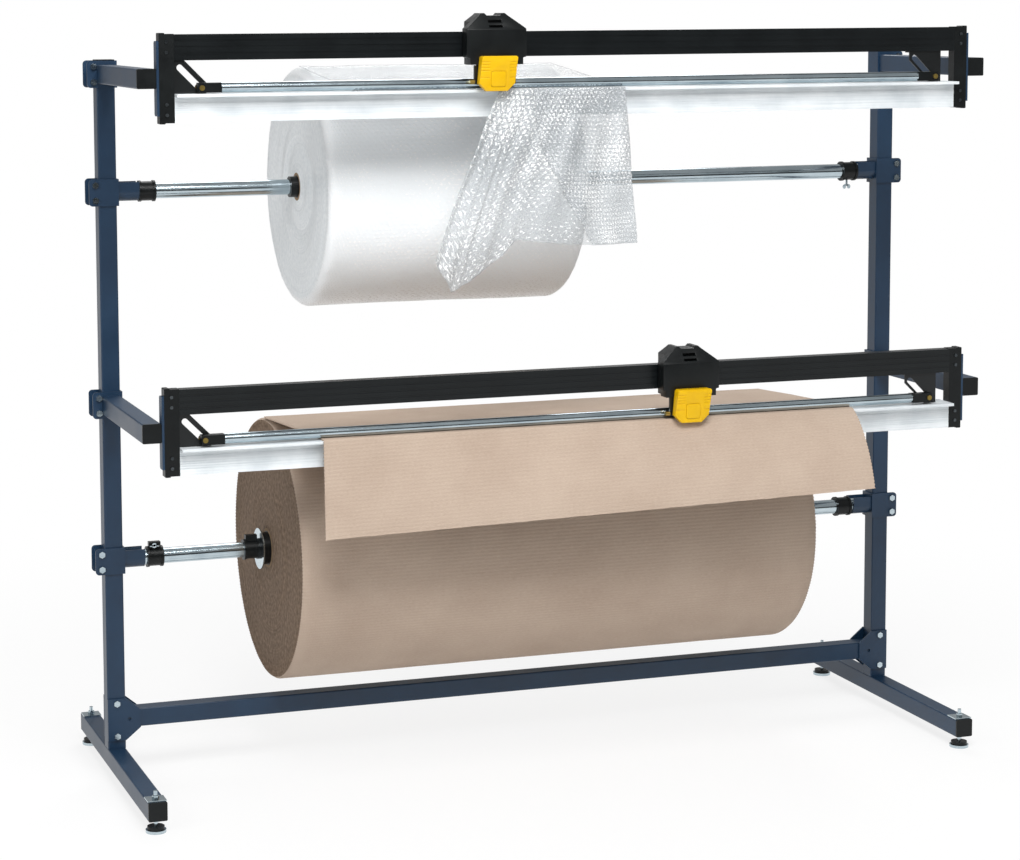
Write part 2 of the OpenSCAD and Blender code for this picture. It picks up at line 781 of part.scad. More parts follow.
module end_screw_places() both_sides() for (z = arm_zs, s = [-1, 1], h = end_screw_zs)
    translate([-end_x + end_screw_x, 0, z + s * h]) children();

module end_plate() difference() {
    union() {
        box(-end_x, -bar_half, end_front, end_front + end_d, -end_h / 2, end_h / 2);
        translate([-end_x + end_rib_w / 2, 0, 0]) along_y(end_front, end_front + end_d)
            rounded(end_rib_w, end_h + 2 * end_rib_up, 2);
    }
    box(
        -end_x + end_wall, -bar_half - end_wall, end_front + end_wall, end_front + end_d + 1,
        end_wall - end_h / 2, end_h / 2 - end_wall
    );
}

module cutter_end_plates() stand() color("#1f2426") difference() {
    both_sides() for (z = arm_zs) translate([0, 0, z]) end_plate();
    end_screw_places() rod_y(end_screw_d / 2, end_front - 1, end_front + end_wall + 1);
}

module end_plate_screws() stand() color("#b4bcc4") end_screw_places() {
    rod_y(end_screw_head_r, end_front - end_screw_head_h, end_front);
    rod_y(end_screw_d / 2, end_front, end_front + end_screw_l);
}

module slot_shape(x) translate([x, slot_low_z]) polygon(slot_w / 2 * concat(
    [for (a = [225:15:405]) [cos(a), sin(a)]],
    [for (a = [405:15:585]) [cos(a), sin(a)] + 2 * slot_rise / slot_w * [-1, 1]]
));

// Slanted plates that carry the press tube; both slots climb to the left
module left_hanger_shape() {
    x0 = -bar_half + 0.5;
    x1 = -slot_screw_x + slot_w / 2 + hang_wall;
    rise = slot_screw_x + x1;
    polygon([
        [x0, hang_bottom], [x1, hang_bottom], [x1, slot_low_z + rise],
        [x1 + slot_low_z + rise - bar_bottom, bar_bottom], [x0, bar_bottom]
    ]);
}

module right_hanger_shape() {
    x0 = slot_screw_x - slot_rise - slot_w / 2 - hang_wall;
    x1 = slot_screw_x + slot_w / 2 + 3 * hang_wall;
    polygon([
        [x0 + 3 * hang_wall + hang_bottom - slot_low_z + slot_rise, hang_bottom], [x1, hang_bottom],
        [x1, bar_bottom], [x0, bar_bottom], [x0, slot_low_z + slot_rise - hang_wall]
    ]);
}

module hanger(x0, x1) {
    along_y(hang_front, hang_back) difference() {
        children(0);
        children(1);
    }
    box(x0, x1, hang_back, bar_back - 1, bar_bottom - hanger_t, bar_bottom);
}

module hanger_plates() stand() color("#1f2426") for (z = arm_zs) translate([0, 0, z]) {
    hanger(-bar_half + 0.5, -bar_half + 14) {
        left_hanger_shape();
        slot_shape(-slot_screw_x);
    }
    hanger(slot_screw_x - slot_rise - slot_w / 2 - hang_wall, slot_screw_x + slot_w) {
        right_hanger_shape();
        slot_shape(slot_screw_x);
    }
}

// Carriages, drawn around X = 0 and the arm's axis
module upper_place() stand() translate([upper_carriage_x, 0, upper_arm_z]) children();
module lower_place() stand() translate([lower_carriage_x, 0, lower_arm_z]) children();

module house_outline() polygon([
    [-lug_half, house_low], [lug_half, house_low], [lug_half, bar_bottom - 2], [house_half, bar_bottom],
    [house_half, house_eave + 2], [house_half - 6, house_eave + 7],
    [ridge_half + 4, house_ridge - 4], [ridge_half, house_ridge],
    [notch_half + 4, house_ridge], [notch_half, house_ridge - 5],
    [-notch_half, house_ridge - 5], [-notch_half - 4, house_ridge],
    [-ridge_half, house_ridge], [-ridge_half - 4, house_ridge - 4],
    [6 - house_half, house_eave + 7], [-house_half, house_eave + 2],
    [-house_half, bar_bottom], [-lug_half, bar_bottom - 2]
]);

module house_profile() polygon([
    [house_front, house_low], [ring_back, house_low], [ring_back, house_eave + 16],
    [ring_back - 6, house_ridge], [house_front + 24, house_ridge], [house_front, house_eave]
]);

module carriage_housing() color("#23282a") difference() {
    intersection() {
        along_y(house_front, ring_back) house_outline();
        along_x(-house_half, house_half) house_profile();
        union() {
            box(
                -house_half, house_half, house_front, bar_front - glide_gap,
                house_low, house_ridge
            );
            box(-rear_half, rear_half, house_front, ring_back, house_low, house_ridge);
        }
    }
    box(
        -house_half - 1, house_half + 1, bar_front - glide_gap, bar_back + glide_gap,
        bar_bottom - glide_gap, bar_top + glide_gap
    );
    box(
        -carrier_half, carrier_half, house_front + house_wall, bar_front - glide_gap - house_wall,
        house_low - 1, house_eave - 2 * house_wall
    );
    box(-notch_half, notch_half, house_front - 1, house_front + 20, house_eave + 4, house_eave + 9);
    box(-notch_half, notch_half, house_front - 1, house_front + 26, house_eave + 14, house_eave + 20);
}

module gliders() color("#e8e6df") for (s = [-1, 1]) difference() {
    box(
        s * glider_x - glider_l / 2, s * glider_x + glider_l / 2,
        bar_front - glide_gap, bar_back + glide_gap, bar_bottom - glide_gap, bar_top + glide_gap
    );
    box(
        s * glider_x - glider_l, s * glider_x + glider_l,
        bar_front - run_gap, bar_back + run_gap, bar_bottom - run_gap, bar_top + run_gap
    );
}

module knife_carrier() color("#23282a") {
    y0 = house_front + house_wall;
    y1 = y0 + carrier_t;
    box(-carrier_half, carrier_half, y0, y1, carrier_low, house_eave - 3 * house_wall);
    box(-carrier_boss_half, carrier_boss_half, house_front, y0, carrier_low, house_low);
    difference() {
        box(-holder_half, holder_half, y1, holder_back, carrier_low, bar_bottom);
        box(
            -blade_half - run_gap, blade_half + run_gap, blade_y - run_gap,
            blade_y + blade_t + run_gap, carrier_low - 1, blade_top + run_gap
        );
    }
    difference() {
        box(-carrier_half - tab_l, -carrier_half, y0, y0 + tab_t, carrier_low, house_low - 1);
        translate([0, knob_y, knob_z])
            rod_x(knob_shank_r, -carrier_half - tab_l - 1, -carrier_half + 1);
    }
}

module knife_knob() color("#8d7f45") translate([0, knob_y, knob_z]) {
    rod_x(knob_r, -carrier_half - tab_l - knob_l, -carrier_half - tab_l);
    rod_x(knob_shank_r, -carrier_half - tab_l, -carrier_half);
}

// Y of the handle's leaning front at the height z
function handle_front(z) =
    house_front - handle_t + handle_lean * ((handle_top - z) / handle_h - 0.5);

// Slab that follows the handle's front, from d0 to d1 behind it
module lean_slab(d0, d1, x0, x1) along_x(x0, x1) polygon([
    [handle_front(handle_low) + d0, handle_low], [handle_front(handle_low) + d1, handle_low],
    [handle_front(handle_top) + d1, handle_top], [handle_front(handle_top) + d0, handle_top]
]);

module handle_outline() polygon([
    [3 - handle_w / 2, handle_top], [handle_w / 2 - 3, handle_top], [handle_w / 2, handle_top - 3],
    [handle_w / 2 - handle_shift, handle_low + handle_chamfer],
    [handle_w / 2 - handle_shift - handle_chamfer, handle_low],
    [handle_chamfer - handle_w / 2 - handle_shift, handle_low],
    [-handle_w / 2 - handle_shift, handle_low + handle_chamfer], [-handle_w / 2, handle_top - 3]
]);

module button_shape(grow) translate([button_x, button_z])
    rounded(button_w + 2 * grow, button_h + 2 * grow, button_r);

module handle() color("#f2c400") difference() {
    intersection() {
        along_y(house_front - handle_t - handle_lean, house_front) handle_outline();
        along_x(-handle_w, handle_w) polygon([
            [handle_front(handle_low), handle_low], [house_front, handle_low],
            [house_front, handle_top], [handle_front(handle_top), handle_top]
        ]);
    }
    along_y(house_front - handle_t - handle_lean, house_front) button_shape(button_gap);
    intersection() {
        along_y(house_front - handle_t - handle_lean, house_front + 1)
            button_shape(button_rim + button_gap);
        lean_slab(handle_wall, handle_t + 2 * handle_lean, -handle_w, handle_w);
    }
    for (s = [-1, 1], z = grip_zs)
        translate([s * handle_w / 2, handle_front(handle_top - z), handle_top - z])
            cube([handle_w - 2 * grip_in, 2 * groove_d, 2 * groove_d], center = true);
}

module button() color("#f2c400") {
    intersection() {
        along_y(house_front - 2 * handle_t, house_front) button_shape(0);
        lean_slab(-button_proud, handle_wall + run_gap, -handle_w, handle_w);
    }
    intersection() {
        along_y(house_front - 2 * handle_t, house_front) button_shape(button_rim);
        lean_slab(
            handle_wall + run_gap, handle_wall + run_gap + button_rim_t, -handle_w, handle_w
        );
    }
}

module blade() color("#c9ced2") along_y(blade_y, blade_y + blade_t) polygon([
    [-blade_half, blade_top], [-blade_half, blade_tip + blade_half], [0, blade_tip],
    [blade_half, blade_tip + blade_half], [blade_half, blade_top]
]);

module upper_carriage_housing() upper_place() carriage_housing();
module upper_gliders() upper_place() gliders();
module upper_knife_carrier() upper_place() knife_carrier();
module upper_handle() upper_place() handle();
module upper_button() upper_place() button();
module upper_blade() upper_place() blade();
module upper_knife_knob() upper_place() knife_knob();
module lower_carriage_housing() lower_place() carriage_housing();
module lower_gliders() lower_place() gliders();
module lower_knife_carrier() lower_place() knife_carrier();
module lower_handle() lower_place() handle();
module lower_button() lower_place() button();
module lower_blade() lower_place() blade();
module lower_knife_knob() lower_place() knife_knob();

// Press tubes, drawn around their axis; a sheet under the tube lifts it along the slots
module upper_press_place() stand()
    translate([-film_lift, press_y, upper_arm_z + slot_low_z + film_lift]) children();
module lower_press_place() stand()
    translate([-board_lift, press_y, lower_arm_z + slot_low_z + board_lift]) children();

module press_tube() color("#b9c2ca") difference() {
    rod_x(press_r, -press_half, press_half);
    rod_x(press_r - press_wall, -press_half - 1, press_half + 1);
}

module tube_blocks() color("#1f2426") difference() {
    both_sides() {
        box(
            -press_half - block_l, -press_half, -block_d / 2, block_d / 2, -block_h / 2, block_h / 2
        );
        rod_x(press_r - press_wall, -press_half, -press_half + block_plug_l);
    }
    for (x = [-1, 1]) translate([x * slot_screw_x, 0, 0]) rod_y(slot_shank_r, -block_d, block_d);
}

module slot_screws() color("#a8925a") for (x = [-1, 1]) translate([x * slot_screw_x, 0, 0]) {
    y0 = hang_back - press_y + run_gap;
    rod_y(slot_head_r, -block_d / 2 - slot_head_h, -block_d / 2);
    rod_y(slot_shank_r, -block_d / 2, y0 + slot_washer_t + slot_nut_h);
    rod_y(slot_roller_r, block_d / 2, y0);
    rod_y(slot_washer_r, y0, y0 + slot_washer_t);
    hex_y(bolt_af, y0 + slot_washer_t, y0 + slot_washer_t + slot_nut_h);
}

module upper_press_tube() upper_press_place() press_tube();
module upper_tube_blocks() upper_press_place() tube_blocks();
module upper_slot_screws() upper_press_place() slot_screws();
module lower_press_tube() lower_press_place() press_tube();
module lower_tube_blocks() lower_press_place() tube_blocks();
module lower_slot_screws() lower_press_place() slot_screws();

// Spindles and what sits on them
module spindle() color("#b9c2ca") difference() {
    rod_x(spindle_r, -spindle_half, spindle_half);
    rod_x(spindle_r - spindle_wall, -spindle_half - 1, spindle_half + 1);
}

module upper_spindle() stand() translate([0, 0, upper_spindle_z]) spindle();
module lower_spindle() stand() translate([0, 0, lower_spindle_z]) spindle();

// Collar from x inwards, with its clamping ear turned from upright
module collar(x, turn) difference() {
    union() {
        rod_x(collar_d / 2, x, x + collar_l);
        for (end = [x, x + collar_l - flange_l])
            rod_x(collar_flange_d / 2, end, end + flange_l);
        rotate([turn, 0, 0]) box(
            x + flange_l, x + collar_l - flange_l, -ear_w / 2, ear_w / 2, 0, collar_ear
        );
    }
    rod_x(spindle_r, x - 1, x + collar_l + 1);
}

module upper_collars() stand() color("#23282a") translate([0, 0, upper_spindle_z])
    both_sides() collar(-cradle_in + upper_collar_gap, ear_back);

module lower_collars() stand() color("#23282a") translate([0, 0, lower_spindle_z]) {
    collar(-cradle_in + lower_collar_gap, 0);
    right_side() collar(-cradle_in + lower_collar_gap, ear_back);
    translate([board_x, 0, 0]) both_sides() collar(-board_half - plug_out - disc_t - collar_l, 0);
}

module core_plug(half, d) difference() {
    union() {
        rod_x(d / 2 - plug_lip / 2, -half - plug_out, -half);
        rod_x(d / 2, -half, -half + plug_in);
    }
    rod_x(spindle_r, -half - plug_out - 1, -half + plug_in + 1);
}

module upper_core_plugs() stand() color("#23282a")
    translate([film_x, 0, upper_spindle_z]) both_sides() core_plug(film_half, film_core_d);
module lower_core_plugs() stand() color("#23282a")
    translate([board_x, 0, lower_spindle_z]) both_sides() core_plug(board_half, board_core_d);

module core_discs() stand() color("#b4bcc4") translate([board_x, 0, lower_spindle_z])
    both_sides() difference() {
        rod_x(disc_d / 2, -board_half - plug_out - disc_t, -board_half - plug_out);
        rod_x(spindle_r, -board_half - plug_out - disc_t - 1, -board_half);
    }

module hollow_roll(half, r_out, r_in) difference() {
    rod_x(r_out, -half, half);
    rod_x(r_in, -half - 1, half + 1);
}

module film_core() stand() color("#b79a78") translate([film_x, 0, upper_spindle_z])
    hollow_roll(film_half, film_core_d / 2 + core_wall, film_core_d / 2);
module film_roll() stand() color("#dfe3e4") translate([film_x, 0, upper_spindle_z])
    hollow_roll(film_half, film_roll_r, film_core_d / 2 + core_wall);
module board_core() stand() color("#b79a78") translate([board_x, 0, lower_spindle_z])
    hollow_roll(board_half, board_core_d / 2 + core_wall, board_core_d / 2);
module board_roll() stand() color("#cbb7a5") translate([board_x, 0, lower_spindle_z])
    hollow_roll(board_half, board_roll_r, board_core_d / 2 + core_wall);

module film_sheet() stand() color("#e3e6e7") polyhedron(
    film_points,
    sheet_faces(film_cols, film_rows, function (i, j) j < 2 || i >= film_slit_col)
);

module board_sheet() stand() color("#cbb7a5") polyhedron(
    board_points,
    sheet_faces(board_cols, board_rows, function (i, j) j != 2 || i >= board_slit_col)
);

left_post();
right_post();
left_foot_tube();
right_foot_tube();
crossbar();
square_end_caps();
upper_left_arm();
upper_right_arm();
lower_left_arm();
lower_right_arm();
upper_cradles();
lower_cradles();
frame_bolts();
frame_nuts();
leveller_studs();
leveller_hubs();
leveller_nuts();
leveller_plates();
upper_guide_bar();
lower_guide_bar();
upper_cutting_rail();
lower_cutting_rail();
cutter_end_plates();
end_plate_screws();
hanger_plates();
upper_carriage_housing();
upper_gliders();
upper_knife_carrier();
upper_handle();
upper_button();
upper_blade();
upper_knife_knob();
lower_carriage_housing();
lower_gliders();
lower_knife_carrier();
lower_handle();
lower_button();
lower_blade();
lower_knife_knob();
upper_press_tube();
upper_tube_blocks();
upper_slot_screws();
lower_press_tube();
lower_tube_blocks();
lower_slot_screws();
upper_spindle();
upper_collars();
upper_core_plugs();
film_core();
film_roll();
film_sheet();
lower_spindle();
lower_collars();
lower_core_plugs();
core_discs();
board_core();
board_roll();
board_sheet();
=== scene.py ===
"""Two-tier roll stand with cross cutters, dressed in Blender over its CAD frame."""

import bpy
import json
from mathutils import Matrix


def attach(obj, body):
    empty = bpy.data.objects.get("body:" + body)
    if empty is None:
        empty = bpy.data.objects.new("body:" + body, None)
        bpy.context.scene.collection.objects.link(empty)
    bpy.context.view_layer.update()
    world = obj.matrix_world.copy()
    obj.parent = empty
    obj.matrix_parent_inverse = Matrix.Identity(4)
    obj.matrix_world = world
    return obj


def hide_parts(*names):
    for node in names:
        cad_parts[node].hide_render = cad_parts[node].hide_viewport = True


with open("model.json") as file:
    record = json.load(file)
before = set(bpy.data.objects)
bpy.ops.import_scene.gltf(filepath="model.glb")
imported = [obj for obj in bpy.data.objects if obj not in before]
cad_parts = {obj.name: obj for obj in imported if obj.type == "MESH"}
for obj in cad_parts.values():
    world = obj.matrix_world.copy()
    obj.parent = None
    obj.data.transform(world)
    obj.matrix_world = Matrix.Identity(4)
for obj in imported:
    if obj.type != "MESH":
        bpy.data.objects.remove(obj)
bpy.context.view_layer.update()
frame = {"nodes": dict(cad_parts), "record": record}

import json
import logging
import math
from dataclasses import dataclass, field
from enum import Enum
from typing import Callable, Iterable, Optional, Sequence

import bpy
from mathutils import Matrix, Vector, noise

LOG = logging.getLogger("roll_stand")
MM = 0.001
# Places of the CAD, in metres: the posts' axis and the two spindles' heights.
POST_Y = 0.13246
FILM_AXIS_Z = 1.293
BOARD_AXIS_Z = 0.488
# Pitch of C-flute board.
FLUTE = 0.00775


def linear(code: str) -> tuple[float, float, float, float]:
    """Turns an sRGB hex code into a linear colour.

    Args:
        code: Six hex digits after a hash sign.

    Returns:
        Red, green, blue and alpha.
    """
    parts = [int(code[i:i + 2], 16) / 255 for i in (1, 3, 5)]
    red, green, blue = (c / 12.92 if c <= 0.04045 else ((c + 0.055) / 1.055) ** 2.4 for c in parts)
    return red, green, blue, 1.0


def add(tree: bpy.types.NodeTree, kind: str, values: Optional[dict] = None, **options) -> bpy.types.Node:
    """Adds a node with its settings and links.

    Args:
        tree: The node tree.
        kind: The node's type, without its ShaderNode prefix.
        values: Input name or number to a plain value or to the socket that feeds it.
        options: Attributes of the node.

    Returns:
        The new node.
    """
    node = tree.nodes.new("ShaderNode" + kind)
    for key, value in options.items():
        setattr(node, key, value)
    for key, value in (values or {}).items():
        if isinstance(value, bpy.types.NodeSocket):
            tree.links.new(value, node.inputs[key])
        else:
            node.inputs[key].default_value = value
    return node


def start(name: str) -> tuple[bpy.types.Material, bpy.types.NodeTree, bpy.types.Node]:
    """Starts a material.

    Args:
        name: The material's name.

    Returns:
        The material, its tree and its Principled shader.
    """
    material = bpy.data.materials.new(name)
    material.use_nodes = True
    tree = material.node_tree
    return material, tree, tree.nodes["Principled BSDF"]


def ramp(tree: bpy.types.NodeTree, factor: bpy.types.NodeSocket,
         stops: Sequence[tuple[float, str]]) -> bpy.types.NodeSocket:
    """Colours a factor.

    Args:
        tree: The node tree.
        factor: The socket that gives the factor.
        stops: Positions and hex codes.

    Returns:
        The colour socket.
    """
    node = add(tree, "ValToRGB", {0: factor})
    elements = node.color_ramp.elements
    while len(elements) < len(stops):
        elements.new(0.5)
    for element, (position, code) in zip(elements, stops):
        element.position = position
        element.color = linear(code)
    return node.outputs[0]


def wire(tree: bpy.types.NodeTree, shader: bpy.types.Node, colour: bpy.types.NodeSocket,
         bump: bpy.types.Node, rough: Optional[bpy.types.Node] = None) -> None:
    """Links what a finish varies over the surface to its shader.

    Args:
        tree: The node tree.
        shader: The Principled shader.
        colour: The colour socket.
        bump: The bump node.
        rough: The node that gives the roughness, where it varies.
    """
    tree.links.new(colour, shader.inputs["Base Color"])
    tree.links.new(bump.outputs[0], shader.inputs["Normal"])
    if rough is not None:
        tree.links.new(rough.outputs[0], shader.inputs["Roughness"])


@dataclass(frozen=True)
class PowderCoat:
    """Polyester powder coat, baked: a fine orange-peel skin with a soft sheen."""

    name: str
    colour: str
    shade: str
    peel_mm: float = 2.4
    roughness: float = 0.38

    def build(self) -> bpy.types.Material:
        """Makes the material."""
        material, tree, shader = start(self.name)
        place = add(tree, "TexCoord").outputs["Object"]
        # Orange peel is about 2 mm from crest to crest.
        peel = add(tree, "TexNoise", {"Vector": place, "Scale": 1 / (self.peel_mm * MM), "Detail": 2.0})
        tone = add(tree, "TexNoise", {"Vector": place, "Scale": 9.0, "Detail": 3.0})
        colour = ramp(tree, tone.outputs[0], ((0.3, self.shade), (0.7, self.colour)))
        bump = add(tree, "Bump", {"Height": peel.outputs[0], "Strength": 0.12, "Distance": 0.0004})
        rough = add(tree, "MapRange",
                    {"Value": tone.outputs[0], 3: self.roughness - 0.06, 4: self.roughness + 0.08})
        wire(tree, shader, colour, bump, rough)
        return material


@dataclass(frozen=True)
class MouldedPlastic:
    """Injection-moulded ABS with a spark-eroded grain, which scatters the light softly."""

    name: str
    colour: str
    shade: str
    grain_mm: float = 1.1
    roughness: float = 0.5
    relief: float = 0.25
    specular: float = 0.5

    def build(self) -> bpy.types.Material:
        """Makes the material."""
        material, tree, shader = start(self.name)
        place = add(tree, "TexCoord").outputs["Object"]
        # The real grain is 0.3 mm, drawn at about 1 mm so that it shows.
        grain = add(tree, "TexNoise", {"Vector": place, "Scale": 1 / (self.grain_mm * MM), "Detail": 3.0})
        tone = add(tree, "TexNoise", {"Vector": place, "Scale": 22.0, "Detail": 4.0, "Roughness": 0.6})
        colour = ramp(tree, tone.outputs[0], ((0.32, self.shade), (0.68, self.colour)))
        bump = add(tree, "Bump", {"Height": grain.outputs[0], "Strength": self.relief, "Distance": 0.0004})
        rough = add(tree, "MapRange",
                    {"Value": tone.outputs[0], 3: self.roughness - 0.1, 4: self.roughness + 0.1})
        wire(tree, shader, colour, bump, rough)
        shader.inputs["Specular IOR Level"].default_value = self.specular
        return material


@dataclass(frozen=True)
class DrawnMetal:
    """Metal with a lengthwise grain: zinc-plated drawn tube, extruded aluminium, ground steel or brass."""

    name: str
    colour: str
    shade: str
    roughness: float
    grain_mm: float = 1.6
    stretch: float = 60.0
    relief: float = 0.15
    metallic: float = 1.0

    def build(self) -> bpy.types.Material:
        """Makes the material."""
        material, tree, shader = start(self.name)
        place = add(tree, "TexCoord").outputs["Object"]
        # Drawing lines run along X, a millimetre or two apart.
        along = add(tree, "Mapping", {"Vector": place, "Scale": (1 / self.stretch, 1.0, 1.0)})
        lines = add(tree, "TexNoise",
                    {"Vector": along.outputs[0], "Scale": 1 / (self.grain_mm * MM), "Detail": 3.0})
        cloud = add(tree, "TexNoise", {"Vector": place, "Scale": 14.0, "Detail": 4.0})
        both = add(tree, "Math", {0: lines.outputs[0], 1: cloud.outputs[0]}, operation="ADD")
        half = add(tree, "Math", {0: both.outputs[0], 1: 0.5}, operation="MULTIPLY")
        colour = ramp(tree, half.outputs[0], ((0.36, self.shade), (0.62, self.colour)))
        bump = add(tree, "Bump", {"Height": lines.outputs[0], "Strength": self.relief, "Distance": 0.0003})
        rough = add(tree, "MapRange",
                    {"Value": half.outputs[0], 3: self.roughness - 0.07, 4: self.roughness + 0.09})
        shader.inputs["Metallic"].default_value = self.metallic
        wire(tree, shader, colour, bump, rough)
        return material


@dataclass(frozen=True)
class KraftBoard:
    """Unbleached kraft liner glued on fluting: matt, fibrous, with the flutes showing as faint lines."""

    name: str
    colour: str
    shade: str
    flute_mm: float = 7.75
    relief: float = 0.35

    def build(self) -> bpy.types.Material:
        """Makes the material, which follows the piece's UV map in metres."""
        material, tree, shader = start(self.name)
        flat = add(tree, "TexCoord").outputs["UV"]
        split = add(tree, "SeparateXYZ", {0: flat})
        turn = add(tree, "Math",
                   {0: split.outputs[1], 1: math.tau / (self.flute_mm * MM)}, operation="MULTIPLY")
        flute = add(tree, "Math", {0: turn.outputs[0]}, operation="SINE")
        # Pulp fibres are 2 to 3 mm long, drawn at twice that so that they show.
        run = add(tree, "Mapping", {"Vector": flat, "Scale": (0.25, 1.0, 1.0)})
        fibre = add(tree, "TexNoise", {"Vector": run.outputs[0], "Scale": 1 / (1.6 * MM), "Detail": 3.0})
        cloud = add(tree, "TexNoise", {"Vector": flat, "Scale": 7.0, "Detail": 4.0})
        mixed = add(tree, "Math", {0: fibre.outputs[0], 1: cloud.outputs[0]}, operation="ADD")
        lined = add(tree, "Math",
                    {0: flute.outputs[0], 1: 0.035, 2: mixed.outputs[0]}, operation="MULTIPLY_ADD")
        factor = add(tree, "Math", {0: lined.outputs[0], 1: 0.5}, operation="MULTIPLY")
        colour = ramp(tree, factor.outputs[0], ((0.34, self.shade), (0.64, self.colour)))
        rise = add(tree, "Math",
                   {0: flute.outputs[0], 1: 0.25, 2: fibre.outputs[0]}, operation="MULTIPLY_ADD")
        bump = add(tree, "Bump", {"Height": rise.outputs[0], "Strength": self.relief, "Distance": 0.0006})
        wire(tree, shader, colour, bump)
        shader.inputs["Roughness"].default_value = 0.82
        shader.inputs["Specular IOR Level"].default_value = 0.3
        return material


@dataclass(frozen=True)
class WoundEnd:
    """Cut edges of a wound web: rings round the axis, with the plies a little uneven."""

    name: str
    axis_z: float
    colour: str
    shade: str
    ring_mm: float
    roughness: float

    def build(self) -> bpy.types.Material:
        """Makes the material."""
        material, tree, shader = start(self.name)
        place = add(tree, "TexCoord").outputs["Object"]
        centred = add(tree, "Mapping",
                      {"Vector": place, "Location": (0, -POST_Y, -self.axis_z), "Scale": (0, 1, 1)})
        radius = add(tree, "VectorMath", {0: centred.outputs[0]}, operation="LENGTH")
        ring = add(tree, "CombineXYZ", {0: radius.outputs["Value"]})
        # One ring for each ply or two.
        plies = add(tree, "TexNoise",
                    {"Vector": ring.outputs[0], "Scale": 1 / (self.ring_mm * MM), "Detail": 2.0})
        # Crushed flutes and dust show as specks of a few millimetres.
        patch = add(tree, "TexNoise", {"Vector": centred.outputs[0], "Scale": 1 / (9 * MM), "Detail": 5.0})
        both = add(tree, "Math",
                   {0: plies.outputs[0], 1: 0.45, 2: patch.outputs[0]}, operation="MULTIPLY_ADD")
        colour = ramp(tree, both.outputs[0], ((0.5, self.shade), (0.95, self.colour)))
        bump = add(tree, "Bump", {"Height": plies.outputs[0], "Strength": 0.7, "Distance": 0.002})
        wire(tree, shader, colour, bump)
        shader.inputs["Roughness"].default_value = self.roughness
        return material


@dataclass(frozen=True)
class BubbleFilm:
    """Blown polyethylene film with 10 mm air bubbles; their glints are painted into the colour as white
    highlights.
    """

    name: str
    # colour is the white painted in as highlights on the glints; shade is the film's own tone.
    colour: str
    shade: str
    pitch_mm: float = 11.0
    alpha: float = 1.0
    roughness: float = 0.3
    depth: float = 0.0
    # spread widens the share of the surface painted white as highlights.
    spread: float = 0.0
    crease_mm: float = 4.5

    def lattice(self, tree: bpy.types.NodeTree, flat: bpy.types.NodeSocket,
                shift: float) -> bpy.types.NodeSocket:
        """Gives the distance to the nearest bubble of one of the two rows that make the hexagonal pattern.

        Args:
            tree: The node tree.
            flat: The UV socket, in metres.
            shift: How far the row is offset, in pitches.

        Returns:
            The distance in metres.
        """
        p, q = self.pitch_mm * MM, self.pitch_mm * MM * math.sqrt(3)
        cells = add(tree, "Mapping",
                    {"Vector": flat, "Scale": (1 / p, 1 / q, 0.0), "Location": (shift, shift, 0.0)})
        part = add(tree, "VectorMath", {0: cells.outputs[0]}, operation="FRACTION")
        mid = add(tree, "VectorMath", {0: part.outputs[0], 1: (0.5, 0.5, 0.0)}, operation="SUBTRACT")
        real = add(tree, "VectorMath", {0: mid.outputs[0], 1: (p, q, 0.0)}, operation="MULTIPLY")
        return add(tree, "VectorMath", {0: real.outputs[0]}, operation="LENGTH").outputs["Value"]

    def build(self) -> bpy.types.Material:
        """Makes the material, which follows the piece's UV map in metres."""
        material, tree, shader = start(self.name)
        flat = add(tree, "TexCoord").outputs["UV"]
        near = add(tree, "Math", {0: self.lattice(tree, flat, 0.0), 1: self.lattice(tree, flat, 0.5)},
                   operation="MINIMUM")
        dome = add(tree, "MapRange",
                   {0: near.outputs[0], 1: self.pitch_mm * MM * 0.46, 2: self.pitch_mm * MM * 0.15,
                                      3: 0.0, 4: 1.0}, interpolation_type="SMOOTHSTEP")
        # Creases between the bubbles are a few millimetres long; they shape the bump and place the white
        # highlights painted on the glints.
        crease = add(tree, "TexNoise", {"Vector": flat, "Scale": 1 / (self.crease_mm * MM), "Detail": 3.0,
                                        "Roughness": 0.6})
        patches = add(tree, "TexNoise", {"Vector": flat, "Scale": 9.0, "Detail": 3.0})
        lit = add(tree, "Math",
                  {0: patches.outputs[0], 1: 0.35, 2: crease.outputs[0]}, operation="MULTIPLY_ADD")
        spot = add(tree, "Math", {0: dome.outputs[0], 1: 0.10, 2: lit.outputs[0]}, operation="MULTIPLY_ADD")
        # Painted highlight: where the bubble domes, creases and patches peak, the colour turns from the
        # film's tone to white.
        painted_glint = add(tree, "MapRange",
                    {0: spot.outputs[0], 1: 0.75 - self.spread, 2: 0.90 - 0.4 * self.spread,
                                       3: 0.0, 4: 1.0}, interpolation_type="SMOOTHSTEP")
        colour = ramp(tree, painted_glint.outputs[0], ((0.0, self.shade), (0.9, self.colour)))
        height = add(tree, "Math",
                     {0: dome.outputs[0], 1: 0.35, 2: crease.outputs[0]}, operation="MULTIPLY_ADD")
        bump = add(tree, "Bump", {"Height": height.outputs[0], "Strength": 0.45, "Distance": 0.0025})
        rough = add(tree, "MapRange", {0: painted_glint.outputs[0], 3: self.roughness, 4: 0.12})
        wire(tree, shader, colour, bump, rough)
        shader.inputs["Specular IOR Level"].default_value = 0.6
        if self.depth:
            # Light goes some centimetres into the wound film.
            shader.inputs["Subsurface Weight"].default_value = 0.5
            shader.inputs["Subsurface Radius"].default_value = (1.0, 1.0, 1.0)
            shader.inputs["Subsurface Scale"].default_value = self.depth
        if self.alpha < 1:
            # The painted white highlights are made nearly opaque on the sheet.
            clear = add(tree, "MapRange", {0: painted_glint.outputs[0], 3: self.alpha, 4: 0.95})
            tree.links.new(clear.outputs[0], shader.inputs["Alpha"])
        return material


